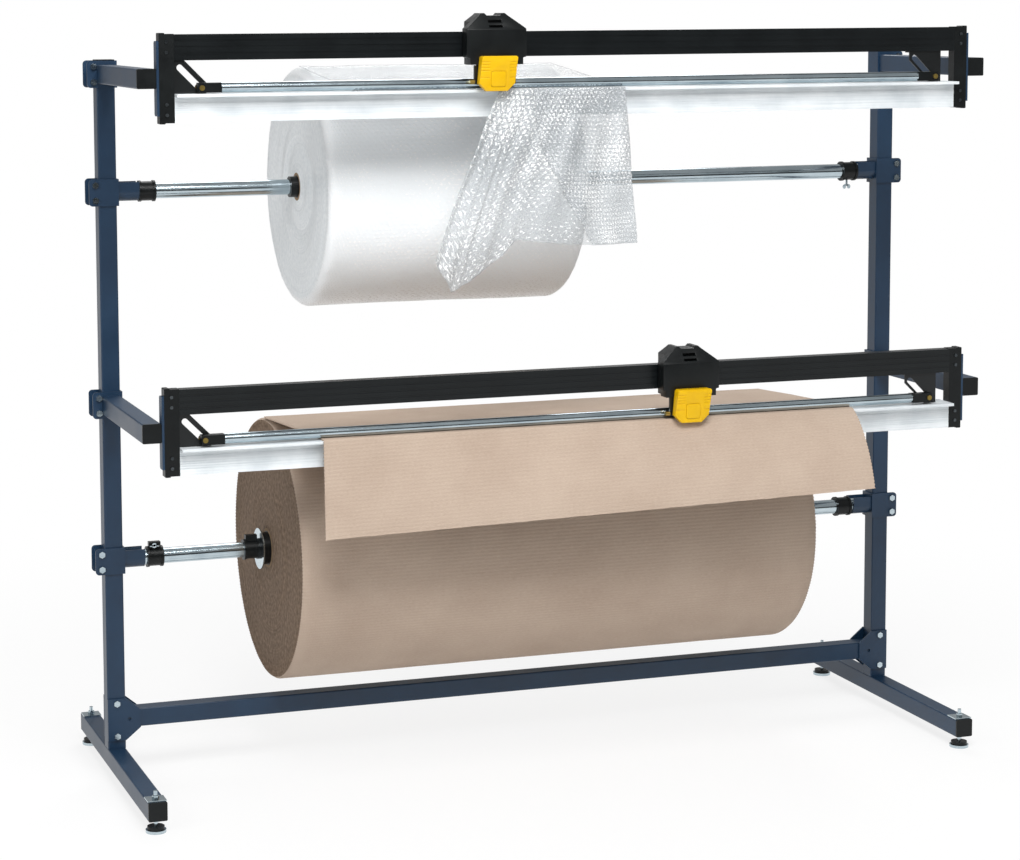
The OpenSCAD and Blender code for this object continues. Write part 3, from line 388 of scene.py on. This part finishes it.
BLUE = PowderCoat("powder_coated_steel_blue", "#17344e", "#132c44")
BLACK_COAT = PowderCoat("powder_coated_steel_black", "#0f1314", "#0a0d0e", roughness=0.34)
BLACK_ABS = MouldedPlastic("moulded_abs_black", "#0d1112", "#090c0d", roughness=0.36, specular=0.3)
YELLOW_ABS = MouldedPlastic("moulded_abs_yellow", "#dcaf00", "#d2a400", roughness=0.38, relief=0.12,
                             specular=0.3)
ACETAL = MouldedPlastic("machined_acetal_white", "#eceae2", "#dcd9cf", roughness=0.4)
ZINC = DrawnMetal("zinc_plated_steel", "#c9d6dc", "#a9b8c0", 0.16)
SCREW_STEEL = DrawnMetal("blackened_screw_steel", "#6a7074", "#3f4447", 0.3, stretch=4.0)
BARE_ALUMINIUM = DrawnMetal("extruded_aluminium", "#ebeff1", "#ccd3d7", 0.5, grain_mm=1.2, stretch=200.0,
                            metallic=0.2)
BLACK_ALUMINIUM = DrawnMetal("black_anodised_aluminium", "#101517", "#0a0e10", 0.3, grain_mm=1.2,
                             stretch=200.0, metallic=0.25)
BLADE_STEEL = DrawnMetal("ground_blade_steel", "#dde1e4", "#b9bfc4", 0.2)
BRASS = DrawnMetal("dull_brass", "#b39a56", "#8a7840", 0.34, stretch=4.0)
LINER = KraftBoard("kraft_liner_board", "#b7a595", "#a89585")
BOARD_END = WoundEnd("wound_board_edges", BOARD_AXIS_Z, "#8d7763", "#5a493a", 6.5, 0.9)
PAPER_TUBE = KraftBoard("spiral_paper_tube", "#a88f74", "#907758", flute_mm=60.0)
# In the film finishes the white is painted highlight on the glints; the other colour is the film's own
# tone.
FILM_WOUND = BubbleFilm("wound_bubble_film", "#ffffff", "#eef1f3", depth=0.03)
FILM_END = WoundEnd("wound_film_edges", FILM_AXIS_Z, "#f2f5f6", "#dfe4e7", 5.0, 0.4)
FILM_SHEET = BubbleFilm("single_bubble_film", "#ffffff", "#b0b6ba", alpha=0.28, roughness=0.2, spread=0.03,
                        crease_mm=3.0)

_built: dict[str, bpy.types.Material] = {}


def finish_of(finish) -> bpy.types.Material:
    """Gives a finish's material, made once."""
    if finish.name not in _built:
        _built[finish.name] = finish.build()
    return _built[finish.name]


def deselect() -> None:
    """Deselects every object."""
    bpy.ops.object.select_all(action="DESELECT")


def take(piece: bpy.types.Object) -> None:
    """Makes a piece the only selected and active one."""
    deselect()
    piece.select_set(True)
    bpy.context.view_layer.objects.active = piece


def settle(piece: bpy.types.Object) -> None:
    """Puts a piece's place into its mesh."""
    take(piece)
    bpy.ops.object.transform_apply(location=True, rotation=True, scale=True)


def apply_all(piece: bpy.types.Object) -> None:
    """Applies a piece's modifiers."""
    take(piece)
    for modifier in list(piece.modifiers):
        bpy.ops.object.modifier_apply(modifier=modifier.name)


def hand_over(piece: bpy.types.Object, body: str, slot: str, finishes: Sequence,
              nodes: Iterable[str] = ()) -> None:
    """Gives a finished piece its body and materials, and reports it.

    Args:
        piece: The piece.
        body: The body that it rides on.
        slot: The record's material slot; not used.
        finishes: Its finishes, in the order of its material numbers.
        nodes: The CAD nodes that it stands for.
    """
    piece.data.materials.clear()
    for finish in finishes:
        piece.data.materials.append(finish_of(finish))
    names = list(nodes)
    if names:
        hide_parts(*names)
    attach(piece, body)
    LOG.info("%s rides on %s, %d faces", piece.name, body, len(piece.data.polygons))


def grid_piece(name: str, columns: int, rows: int, place: Callable[[float, float], Vector],
               flat: Callable[[float, float], tuple[float, float]]) -> bpy.types.Object:
    """Shapes a grid into a surface.

    Args:
        name: The piece's name.
        columns: Faces along the first direction.
        rows: Faces along the second direction.
        place: The surface's point for two numbers from 0 to 1.
        flat: The point's place in the flat sheet, in metres, which becomes the UV map.

    Returns:
        The piece.
    """
    deselect()
    bpy.ops.mesh.primitive_grid_add(x_subdivisions=columns, y_subdivisions=rows, size=1.0)
    piece = bpy.context.object
    piece.name = name
    mesh = piece.data
    where = [(v.co.x + 0.5, v.co.y + 0.5) for v in mesh.vertices]
    uv = mesh.uv_layers.active.data
    for loop in mesh.loops:
        uv[loop.index].uv = flat(*where[loop.vertex_index])
    for vertex, (u, v) in zip(mesh.vertices, where):
        vertex.co = place(u, v)
    return piece


def join(pieces: Sequence[bpy.types.Object], name: str, merge: float = 0.00005) -> bpy.types.Object:
    """Joins pieces into one and merges the points that meet.

    Args:
        pieces: The pieces.
        name: The name of the result.
        merge: How near points are merged, in metres.

    Returns:
        The joined piece.
    """
    take(pieces[0])
    for piece in pieces:
        piece.select_set(True)
    bpy.ops.object.join()
    whole = bpy.context.object
    whole.name = name
    bpy.ops.object.mode_set(mode="EDIT")
    bpy.ops.mesh.select_all(action="SELECT")
    bpy.ops.mesh.remove_doubles(threshold=merge)
    bpy.ops.mesh.normals_make_consistent(inside=False)
    bpy.ops.object.mode_set(mode="OBJECT")
    return whole


def rounded_copy(node: str, name: str, width_mm: float, segments: int = 2,
                 angle: float = 34.0) -> bpy.types.Object:
    """Copies a CAD node and rounds its edges.

    Args:
        node: The CAD node.
        name: The new piece's name.
        width_mm: The bevel's width.
        segments: The bevel's steps.
        angle: Edges sharper than this are rounded.

    Returns:
        The new piece.
    """
    mesh = frame["nodes"][node].data.copy()
    piece = bpy.data.objects.new(name, mesh)
    bpy.context.scene.collection.objects.link(piece)
    take(piece)
    bpy.ops.object.mode_set(mode="EDIT")
    bpy.ops.mesh.select_all(action="SELECT")
    bpy.ops.mesh.remove_doubles(threshold=0.00001)
    bpy.ops.mesh.dissolve_limited(angle_limit=math.radians(0.5))
    bpy.ops.object.mode_set(mode="OBJECT")
    bevel = piece.modifiers.new("round", "BEVEL")
    bevel.width = width_mm * MM
    bevel.segments = segments
    bevel.limit_method = "ANGLE"
    bevel.angle_limit = math.radians(angle)
    bevel.harden_normals = False
    apply_all(piece)
    bpy.ops.object.shade_smooth_by_angle(angle=math.radians(35))
    return piece


@dataclass
class WoundRoll:
    """A web wound on a core."""

    name: str
    node: str
    body: str
    slot: str
    centre_x: float
    axis_z: float
    half: float
    radius: float
    inner: float
    finishes: tuple
    seed: float
    wave: float = 0.001
    telescope: float = 0.003
    shoulder: float = 0.004
    serration: float = 0.0
    flute: float = FLUTE
    columns: int = 24
    turns: int = 320

    @property
    def teeth(self) -> int:
        """Whole number of flutes round the outer ply."""
        return round(math.tau * self.radius / self.flute)

    def swell(self, x: float, angle: float) -> float:
        """Gives how far the outer ply stands off the nominal radius, mostly inward."""
        at = Vector((x * 3, math.cos(angle) * 1.2 + self.seed, math.sin(angle) * 1.2))
        rise = self.wave * (noise.noise(at) + 0.4 * noise.noise(at * 3.1) - 0.8)
        return rise + 0.1 * self.serration * math.sin(self.teeth * angle)

    def point(self, x: float, radius: float, angle: float) -> Vector:
        """Gives a point round the axis."""
        return Vector((self.centre_x + x, POST_Y + radius * math.cos(angle),
                       self.axis_z + radius * math.sin(angle)))

    def shell(self, u: float, v: float) -> Vector:
        """Gives a point of the outer ply, whose ends are rounded and show the cut flutes."""
        angle = math.tau * v
        k = 2 * u - 1
        x = self.half * (1.5 * k - 0.5 * k ** 3)
        share = min(1.0, max(0.0, abs(x) - self.half + self.shoulder) / self.shoulder)
        drop = self.shoulder * (1 - math.sqrt(1 - share * share))
        ragged = 0.6 * self.wave * noise.noise(Vector((angle * 9, self.seed, k))) * share
        x += k * share * self.serration * 0.5 * (math.sin(self.teeth * angle) - 1)
        return self.point(x, self.radius + self.swell(x, angle) - drop + ragged, angle)

    def face(self, side: int) -> Callable[[float, float], Vector]:
        """Gives the surface of one end.

        Args:
            side: -1 for the left end, 1 for the right.

        Returns:
            The surface's function.
        """
        def place(u: float, v: float) -> Vector:
            """Gives a point of the end, whose plies stand out unevenly."""
            angle = math.tau * v
            rim = self.shell(0.5 + 0.5 * side, v)
            reach = math.hypot(rim.y - POST_Y, rim.z - self.axis_z)
            radius = self.inner + (reach - self.inner) * u
            at = Vector((radius * 26, self.seed * side, 0.3 * math.cos(angle)))
            out = self.telescope * (noise.noise(at) - 0.5)
            out *= min(1.0, (1 - u) * 12) * min(1.0, u * 12)
            edge = rim.x - self.centre_x - side * self.half
            return self.point(side * self.half + side * out + edge * u ** 8, radius, angle)
        return place

    def build(self) -> bpy.types.Object:
        """Builds and dresses the roll.

        Returns:
            The roll.
        """
        long = math.tau * self.radius
        shell = grid_piece(self.name, self.columns, self.turns, self.shell,
                           lambda u, v: (2 * self.half * u, long * v))
        parts = [shell]
        for side in (-1, 1):
            parts.append(grid_piece(f"{self.name}_end", 16, self.turns, self.face(side),
                                    lambda u, v: (u, v)))
        parts.append(grid_piece(f"{self.name}_bore", 2, self.turns,
                                lambda u, v: self.point(self.half * (2 * u - 1), self.inner, math.tau * v),
                                lambda u, v: (u, v)))
        for number, part in enumerate(parts):
            for finish in self.finishes:
                part.data.materials.append(finish_of(finish))
            for polygon in part.data.polygons:
                polygon.material_index = min(1, number)
        roll = join(parts, self.name)
        take(roll)
        bpy.ops.object.shade_smooth_by_angle(angle=math.radians(40))
        kept = [p.material_index for p in roll.data.polygons]
        hand_over(roll, self.body, self.slot, self.finishes, [self.node])
        roll.data.polygons.foreach_set("material_index", kept)
        return roll


@dataclass
class Web:
    """A sheet that leads from a roll over the rail's lip and hangs in front of it."""

    name: str
    node: str
    slot: str
    rail: str
    left: float
    right: float
    thick: float
    lip_z: float
    axis_z: float
    radius: float
    cut_x: float
    lip_y: float = POST_Y - 0.452
    knife_y: float = POST_Y - 0.4485
    gap: float = 0.0003

    @property
    def line(self) -> float:
        """Height of the sheet's middle on the rail."""
        return self.lip_z + self.gap + self.thick / 2

    @property
    def pivot(self) -> tuple[float, float]:
        """Centre of the bend round the lip."""
        return self.lip_y + MM, self.lip_z - MM

    @property
    def bend(self) -> float:
        """Radius of the bend round the lip."""
        return MM + self.gap + self.thick / 2

    def leave(self, land: tuple[float, float]) -> tuple[float, float]:
        """Gives the point where the sheet leaves its roll for the next point.

        Args:
            land: The next point, Y and Z.

        Returns:
            Y and Z.
        """
        dy, dz = land[0] - POST_Y, land[1] - self.axis_z
        r = self.radius + self.gap + self.thick / 2
        a = math.atan2(dz, dy) - math.acos(r / math.hypot(dy, dz))
        return POST_Y + r * math.cos(a), self.axis_z + r * math.sin(a)


def along(path: Sequence[tuple[float, float]], t: float) -> tuple[float, float]:
    """Gives the point at a share of a path's length.

    Args:
        path: Its points, Y and Z.
        t: The share, 0 to 1.

    Returns:
        Y and Z.
    """
    runs = [math.dist(a, b) for a, b in zip(path, path[1:])]
    rest = t * sum(runs)
    for (a, b), run in zip(zip(path, path[1:]), runs):
        if rest <= run or (a, b) == (path[-2], path[-1]):
            k = min(1.0, rest / max(run, 1e-9))
            return a[0] + (b[0] - a[0]) * k, a[1] + (b[1] - a[1]) * k
        rest -= run
    return path[-1]


def bezier(a: Vector, b: Vector, c: Vector, d: Vector, t: float) -> Vector:
    """Gives a point of a cubic curve."""
    return (1 - t) ** 3 * a + 3 * (1 - t) ** 2 * t * b + 3 * (1 - t) * t * t * c + t ** 3 * d


@dataclass
class BoardWeb(Web):
    """The corrugated board: plumb at its left edge, bowed forward at its right one."""

    slit_half: float = 1.3 * MM
    slit_past: float = 0.01

    def path(self, u: float) -> list[tuple[float, float]]:
        """Gives the sheet's middle line at a share of its width.

        Args:
            u: 0 at the left edge, 1 at the right one.

        Returns:
            Points, Y and Z.
        """
        w = u * u
        land = (POST_Y - 0.382, self.line)
        turn = math.radians(86 - 56 * w)
        py, pz = self.pivot
        points = [self.leave(land), land, (self.knife_y, self.line)]
        points += [(py - self.bend * math.sin(turn * k / 5), pz + self.bend * math.cos(turn * k / 5))
                   for k in range(6)]
        tip = Vector((py - self.bend * math.sin(turn), pz + self.bend * math.cos(turn)))
        reach = 0.030 + 0.030 * w
        last = Vector((self.lip_y - 0.011 - 0.094 * u, self.lip_z - 0.204 + 0.047 * u))
        lead = last + 0.06 * Vector((0.05 + 0.2 * w, 1.0))
        out = tip + reach * Vector((-math.cos(turn), -math.sin(turn)))
        for k in range(1, 25):
            p = bezier(tip, out, lead, last, k / 24)
            points.append((p.x, p.y))
        return points

    def slit(self, sheet: bpy.types.Object) -> None:
        """Takes out the strip that the knife has cut, from the left edge to just past its place.

        Args:
            sheet: The sheet, still without thickness.
        """
        take(sheet)
        bpy.ops.object.mode_set(mode="EDIT")
        bpy.ops.mesh.select_mode(type="FACE")
        bpy.ops.mesh.select_all(action="DESELECT")
        bpy.ops.object.mode_set(mode="OBJECT")
        for face in sheet.data.polygons:
            x, y, z = face.center
            near = x < self.cut_x + self.slit_past and abs(y - self.knife_y) < self.slit_half
            face.select = near and z > self.lip_z
        bpy.ops.object.mode_set(mode="EDIT")
        bpy.ops.mesh.delete(type="FACE")
        bpy.ops.object.mode_set(mode="OBJECT")

    def build(self) -> bpy.types.Object:
        """Builds and dresses the board.

        Returns:
            The sheet.
        """
        columns, rows = 60, 352
        paths = [self.path(i / columns) for i in range(columns + 1)]
        length = sum(math.dist(a, b) for a, b in zip(paths[0], paths[0][1:]))
        width = self.right - self.left

        def place(u: float, v: float) -> Vector:
            """Gives a point of the sheet, with the faint sag of board between its flutes."""
            y, z = along(paths[round(u * columns)], 1 - v)
            x = self.left + width * u
            wave = math.sin(math.tau * (1 - v) * length / FLUTE)
            rough = 0.0006 * noise.noise(Vector((x * 9, (1 - v) * 6, 4.0))) + 0.00012 * wave
            x += (0.0008 * (wave - 1) if u > 0.999 else 0.0) - (0.0008 * (wave - 1) if u < 0.001 else 0.0)
            torn = 0.0012 * noise.noise(Vector((x * 40, 2.0, 2.0))) if v < 0.001 else 0.0
            return Vector((x, y - rough, z + rough + torn))

        sheet = grid_piece(self.name, columns, rows, place, lambda u, v: (width * u, length * (1 - v)))
        self.slit(sheet)
        thick = sheet.modifiers.new("thickness", "SOLIDIFY")
        thick.thickness = self.thick * 0.9
        thick.offset = 0.0
        apply_all(sheet)
        bpy.ops.object.shade_smooth_by_angle(angle=math.radians(40))
        hand_over(sheet, "frame", self.slot, [LINER], [self.node])
        return sheet


@dataclass
class FilmWeb(Web):
    """The bubble film: cut up to the knife, its free part pulled to the lower left and folded."""

    hang: float = 0.36
    bend_rows: float = 0.08
    crease_top: float = 0.216
    crease_run: float = 0.584
    foot: tuple[tuple[float, float, float], ...] = (
        (0.0, -0.134, -0.352), (0.1, -0.101, -0.416), (0.22, -0.062, -0.391), (0.36, 0.012, -0.346),
        (0.46, 0.046, -0.312), (0.62, 0.130, -0.322), (0.8, 0.218, -0.330), (1.0, 0.310, -0.326))

    def foot_at(self, u: float) -> tuple[float, float]:
        """Gives the hanging part's foot at a share of its width, from the film's middle and the lip."""
        for a, b in zip(self.foot, self.foot[1:]):
            if u <= b[0]:
                k = (u - a[0]) / (b[0] - a[0])
                return a[1] + (b[1] - a[1]) * k, a[2] + (b[2] - a[2]) * k
        return self.foot[-1][1:]

    def build(self) -> bpy.types.Object:
        """Builds and dresses the film.

        Returns:
            The sheet.
        """
        land = (POST_Y - 0.4335, self.line)
        start_at = self.leave(land)
        knife = (self.knife_y + MM, self.line)
        flat_path = [start_at, land, knife]
        flat_length = sum(math.dist(a, b) for a, b in zip(flat_path, flat_path[1:]))
        width = self.right - self.left
        free = self.right - self.cut_x
        py, pz = self.pivot
        middle = (self.left + self.right) / 2
        bend = [knife] + [(py - self.bend * math.sin(math.radians(18 * k)),
                           pz + self.bend * math.cos(math.radians(18 * k))) for k in range(6)]
        bend_length = sum(math.dist(a, b) for a, b in zip(bend, bend[1:]))

        def lead(u: float, v: float) -> Vector:
            """Gives a point between the roll and the knife."""
            y, z = along(flat_path, 1 - v)
            x = self.left + width * u
            calm = min(1.0, v * 4)
            return Vector((x, y, z + 0.0016 * calm * noise.noise(Vector((x * 14, v * 3, 1.5)))))

        def drop(u: float, v: float) -> Vector:
            """Gives a point of the hanging part, with its upright folds."""
            t = 1 - v
            x = self.cut_x + free * u
            if t < self.bend_rows:
                y, z = along(bend, t / self.bend_rows)
                return Vector((x, y, z))
            s = (t - self.bend_rows) / (1 - self.bend_rows)
            fx, fz = self.foot_at(u)
            ease = 1.25 * s - 0.25 * s * s
            spread = min(1.0, s * 3)
            wave = 0.009 * (1 - math.cos(math.tau * 2.5 * u)) + 0.010
            fold = 0.004 * math.sin(u * 40 + 5 * s) + 0.006 * noise.noise(Vector((u * 7, s * 4, 2.0)))
            pleat = 0.006 * max(0.0, 0.34 - u) / 0.34 * (1 + math.sin(u * 90 + 2 * s))
            crumple = 0.0022 * abs(noise.noise(Vector((u * 30, s * 36, 7.0))))
            y = py - self.bend - wave * s - (max(0.0, fold + 0.005) * 0.8 + crumple + pleat) * spread
            z = self.lip_z - MM + (fz + MM) * s
            return Vector((x + (middle + fx - x) * ease, y, z))

        def doubled(u: float, v: float) -> Vector:
            """Gives a point of the part that is folded over to the right of a slanted crease."""
            t = 1 - v
            first = self.crease_top + self.crease_run * t
            ply = drop(first + (0.995 - first) * u, min(v, 1 - self.bend_rows))
            bulge = math.sin(math.pi * min(1.0, u * 1.4 + 0.02)) * 0.006
            return ply + Vector((0.0, -0.0025 - bulge, 0.0))

        drop_length = bend_length + self.hang
        web = grid_piece("film_lead", 90, 60, lead, lambda u, v: (width * u, flat_length * (1 - v)))
        tail = grid_piece("film_tail", 110, 130, drop,
                          lambda u, v: (self.cut_x - self.left + free * u,
                                        flat_length + drop_length * (1 - v)))
        over = grid_piece("film_over", 60, 90, doubled,
                          lambda u, v: (free * (self.crease_top + (1 - self.crease_top) * u),
                                        self.hang * (1 - v)))
        sheet = join([web, tail, over], self.name)
        take(sheet)
        bpy.ops.object.shade_smooth()
        thick = sheet.modifiers.new("thickness", "SOLIDIFY")
        thick.thickness = self.thick * 0.8
        thick.offset = 0.0
        apply_all(sheet)
        hand_over(sheet, "frame", self.slot, [FILM_SHEET], [self.node])
        return sheet


class Tier(Enum):
    """The two levels of the stand."""

    UPPER = "upper"
    LOWER = "lower"


@dataclass
class Carriage:
    """A cutter's carriage: housing, handle and button with moulded, rounded edges."""

    tier: Tier
    housing_round_mm: float = 2.2
    handle_round_mm: float = 2.6
    button_round_mm: float = 0.9

    def build(self) -> None:
        """Builds and dresses the moulded pieces."""
        level = self.tier.value
        for part, width, finish, body in (
                ("carriage_housing", self.housing_round_mm, BLACK_ABS, "carriage"),
                ("handle", self.handle_round_mm, YELLOW_ABS, "carriage"),
                ("button", self.button_round_mm, YELLOW_ABS, "button_body")):
            node = f"{level}_{part}"
            piece = rounded_copy(node, f"{node}_moulded", width, 3)
            slot = "black_plastic" if finish is BLACK_ABS else "yellow_plastic"
            hand_over(piece, f"{level}_{body}", slot, [finish], [node])


@dataclass
class WingScrew:
    """A wing screw that clamps a collar: a shank with a round head and two wings."""

    name: str
    body: str
    place: tuple[float, float, float]
    turn: tuple[float, float, float]
    head_mm: float = 5.5
    shank_mm: float = 2.5
    length_mm: float = 14.0

    def rod(self, radius_mm: float, low_mm: float, high_mm: float) -> bpy.types.Object:
        """Makes a round rod along the screw's axis."""
        deselect()
        bpy.ops.mesh.primitive_cylinder_add(vertices=24, radius=radius_mm * MM,
                                            depth=(high_mm - low_mm) * MM,
                                            location=(0, 0, (low_mm + high_mm) / 2 * MM))
        return bpy.context.object

    def wing(self, side: int) -> bpy.types.Object:
        """Makes one of the two wings."""
        deselect()
        bpy.ops.mesh.primitive_cylinder_add(vertices=24, radius=5.0 * MM, depth=1.8 * MM,
                                            location=(side * 7.5 * MM, 0, (self.length_mm + 2.0) * MM),
                                            rotation=(math.radians(90), 0, 0))
        return bpy.context.object

    def build(self) -> bpy.types.Object:
        """Builds and dresses the screw.

        Returns:
            The screw.
        """
        parts = [self.rod(self.shank_mm, 0.0, self.length_mm),
                 self.rod(self.head_mm, self.length_mm - 4, self.length_mm)]
        parts += [self.wing(side) for side in (-1, 1)]
        for part in parts:
            settle(part)
        screw = join(parts, self.name)
        screw.rotation_euler = self.turn
        screw.location = self.place
        settle(screw)
        bpy.ops.object.shade_smooth_by_angle(angle=math.radians(40))
        hand_over(screw, self.body, "zinc", [ZINC])
        return screw


@dataclass
class Dressing:
    """The finishes of the CAD nodes that stay."""

    finishes: dict = field(default_factory=lambda: {
        "blue_paint": BLUE, "black_plastic": BLACK_ABS, "zinc": ZINC, "black_aluminium": BLACK_ALUMINIUM,
        "black_paint": BLACK_COAT, "aluminium": BARE_ALUMINIUM, "white_glider": ACETAL,
        "yellow_plastic": YELLOW_ABS, "blade_steel": BLADE_STEEL, "brass": BRASS, "core_board": PAPER_TUBE,
        "bubble_film": FILM_WOUND, "corrugated_board": LINER})

    def build(self) -> None:
        """Gives every CAD node its finish."""
        for entry in frame["record"]["subparts"]:
            node = frame["nodes"].get(entry["node"])
            if node is None:
                continue
            finish = self.finishes[entry["material_slot"]]
            if entry["node"] == "end_plate_screws":
                finish = SCREW_STEEL
            material = finish_of(finish)
            if not node.material_slots:
                continue
            for place in node.material_slots:
                place.link = "OBJECT"
                place.material = material
        LOG.info("dressed %d CAD nodes", len(frame["nodes"]))


@dataclass
class Studio:
    """The floor, lamps and camera. The camera's numbers come from the fit to the photograph."""

    yaw: float = 0.3136131
    pitch: float = 0.1017352
    roll: float = 0.0059629
    place: tuple[float, float, float] = (-2.0418, -5.4522 + POST_Y, 1.6915)
    photo_width_px: int = 1020
    focal_px: float = 2569.17
    middle_px: float = 397.98
    sensor_mm: float = 36.0

    def camera(self) -> None:
        """Makes the camera from where the photograph was taken."""
        yaw, pitch, roll = self.yaw, self.pitch, self.roll
        right = Vector((math.cos(yaw), -math.sin(yaw), 0))
        ahead = Vector((math.sin(yaw), math.cos(yaw), 0))
        up = Vector((0, 0, 1))
        forward = ahead * math.cos(pitch) - up * math.sin(pitch)
        top = ahead * math.sin(pitch) + up * math.cos(pitch)
        side = right * math.cos(roll) - top * math.sin(roll)
        top = right * math.sin(roll) + top * math.cos(roll)
        data = bpy.data.cameras.new("camera")
        camera = bpy.data.objects.new("camera", data)
        bpy.context.scene.collection.objects.link(camera)
        turn = Matrix((side, top, -forward)).transposed().to_4x4()
        camera.matrix_world = Matrix.Translation(self.place) @ turn
        data.sensor_width = self.sensor_mm
        data.lens = self.sensor_mm * self.focal_px / self.photo_width_px
        data.shift_x = (self.photo_width_px / 2 - self.middle_px) / self.photo_width_px
        data.shift_y = -0.16
        data.clip_end = 60.0
        bpy.context.scene.camera = camera

    def lamp(self, name: str, where: tuple[float, float, float], size: float, power: float) -> None:
        """Adds a soft lamp that points at the stand.

        Args:
            name: Its name.
            where: Its place.
            size: Its width in metres.
            power: Its power in watts.
        """
        data = bpy.data.lights.new(name, "AREA")
        data.shape = "DISK"
        data.size = size
        data.energy = power
        lamp = bpy.data.objects.new(name, data)
        bpy.context.scene.collection.objects.link(lamp)
        lamp.location = where
        lamp.rotation_euler = (Vector((0, 0, 0.9)) - Vector(where)).to_track_quat("-Z", "Y").to_euler()

    def flag(self) -> None:
        """Hangs a dark card behind the camera, which only glossy surfaces see."""
        deselect()
        bpy.ops.mesh.primitive_plane_add(size=1.0, location=(-1.0, -8.0, 1.1),
                                         rotation=(math.radians(90), 0, 0))
        card = bpy.context.object
        card.name = "studio_flag"
        card.scale = (14.0, 3.4, 1.0)
        settle(card)
        for ray in ("camera", "diffuse", "transmission", "shadow", "volume_scatter"):
            setattr(card, f"visible_{ray}", False)
        material, _tree, shader = start("studio_flag_felt")
        shader.inputs["Base Color"].default_value = linear("#1a1b1c")
        shader.inputs["Roughness"].default_value = 1.0
        card.data.materials.append(material)

    def floor(self) -> None:
        """Makes the pale floor, which the camera sees as white under the stand's shadow."""
        deselect()
        bpy.ops.mesh.primitive_plane_add(size=40.0, location=(0, 0, -0.0005))
        plane = bpy.context.object
        plane.name = "studio_floor"
        material, tree, shader = start("studio_floor_paint")
        shader.inputs["Base Color"].default_value = linear("#f4f4f4")
        shader.inputs["Roughness"].default_value = 0.9
        rays = add(tree, "LightPath")
        seen = add(tree, "Math", {0: rays.outputs["Is Camera Ray"], 1: rays.outputs["Is Glossy Ray"]},
                   operation="MAXIMUM")
        white = add(tree, "Emission", {"Color": (1, 1, 1, 1), "Strength": 1.0})
        # The paint turns to plain white away from the stand, so that no horizon shows.
        place = add(tree, "TexCoord").outputs["Object"]
        away = add(tree, "VectorMath", {0: place}, operation="LENGTH")
        fade = add(tree, "MapRange", {0: away.outputs["Value"], 1: 0.9, 2: 2.8, 3: 0.8, 4: 1.0},
                   interpolation_type="SMOOTHSTEP")
        share = add(tree, "Math", {0: seen.outputs[0], 1: fade.outputs[0]}, operation="MULTIPLY")
        mix = add(tree, "MixShader", {0: share.outputs[0], 1: shader.outputs[0], 2: white.outputs[0]})
        tree.links.new(mix.outputs[0], tree.nodes["Material Output"].inputs[0])
        plane.data.materials.append(material)

    def world(self) -> None:
        """Makes the white surroundings."""
        world = bpy.data.worlds.new("studio")
        bpy.context.scene.world = world
        world.use_nodes = True
        tree = world.node_tree
        rays = add(tree, "LightPath")
        seen = add(tree, "Math", {0: rays.outputs["Is Camera Ray"], 1: rays.outputs["Is Transmission Ray"]},
                   operation="MAXIMUM")
        strength = add(tree, "MapRange", {"Value": seen.outputs[0], 3: 0.38, 4: 1.0})
        tree.links.new(strength.outputs[0], tree.nodes["Background"].inputs["Strength"])
        tree.nodes["Background"].inputs["Color"].default_value = (1, 1, 1, 1)

    def build(self) -> None:
        """Builds the studio."""
        self.camera()
        self.floor()
        self.flag()
        self.world()
        self.lamp("key_lamp", (-0.9, -3.6, 4.6), 2.6, 262)
        self.lamp("side_lamp", (-4.2, -2.6, 2.6), 2.0, 45)
        self.lamp("back_lamp", (1.0, 3.0, 3.8), 2.4, 60)
        bpy.context.scene.view_settings.view_transform = "Standard"


def main() -> None:
    """Builds the stand's dressing in order."""
    logging.basicConfig(level=logging.INFO, format="%(name)s: %(message)s")
    Studio().build()
    Dressing().build()
    WoundRoll("bubble_film_roll", "film_roll", "film_spindle", "bubble_film", centre_x=-0.212,
              axis_z=FILM_AXIS_Z, half=0.296, radius=0.266, inner=0.031, finishes=(FILM_WOUND, FILM_END),
              seed=3.0, wave=0.003, telescope=0.008, shoulder=0.018, columns=60).build()
    WoundRoll("corrugated_board_roll", "board_roll", "board_spindle", "corrugated_board", centre_x=0.022,
              axis_z=BOARD_AXIS_Z, half=0.606, radius=0.290, inner=0.044, finishes=(LINER, BOARD_END),
              seed=8.0, serration=0.0016, turns=940).build()
    BoardWeb("corrugated_board_sheet", "board_sheet", "corrugated_board", "lower_cutting_rail",
             left=-0.584, right=0.628, thick=0.004, lip_z=0.801, axis_z=BOARD_AXIS_Z, radius=0.290,
             cut_x=0.245).build()
    FilmWeb("bubble_film_sheet", "film_sheet", "bubble_film", "upper_cutting_rail",
            left=-0.508, right=0.084, thick=0.001, lip_z=1.516, axis_z=FILM_AXIS_Z, radius=0.266,
            cut_x=-0.197).build()
    for tier in Tier:
        Carriage(tier).build()
    down = math.radians(180)
    WingScrew("upper_right_collar_screw", "film_spindle", (0.842, POST_Y - 0.006, FILM_AXIS_Z - 0.0205),
              (down, 0.0, math.radians(20))).build()
    WingScrew("lower_left_collar_screw", "board_spindle", (-0.843, POST_Y - 0.0068, BOARD_AXIS_Z + 0.026),
              (math.radians(90), 0.0, 0.0), length_mm=5.0).build()


if __name__ == "__main__":
    main()
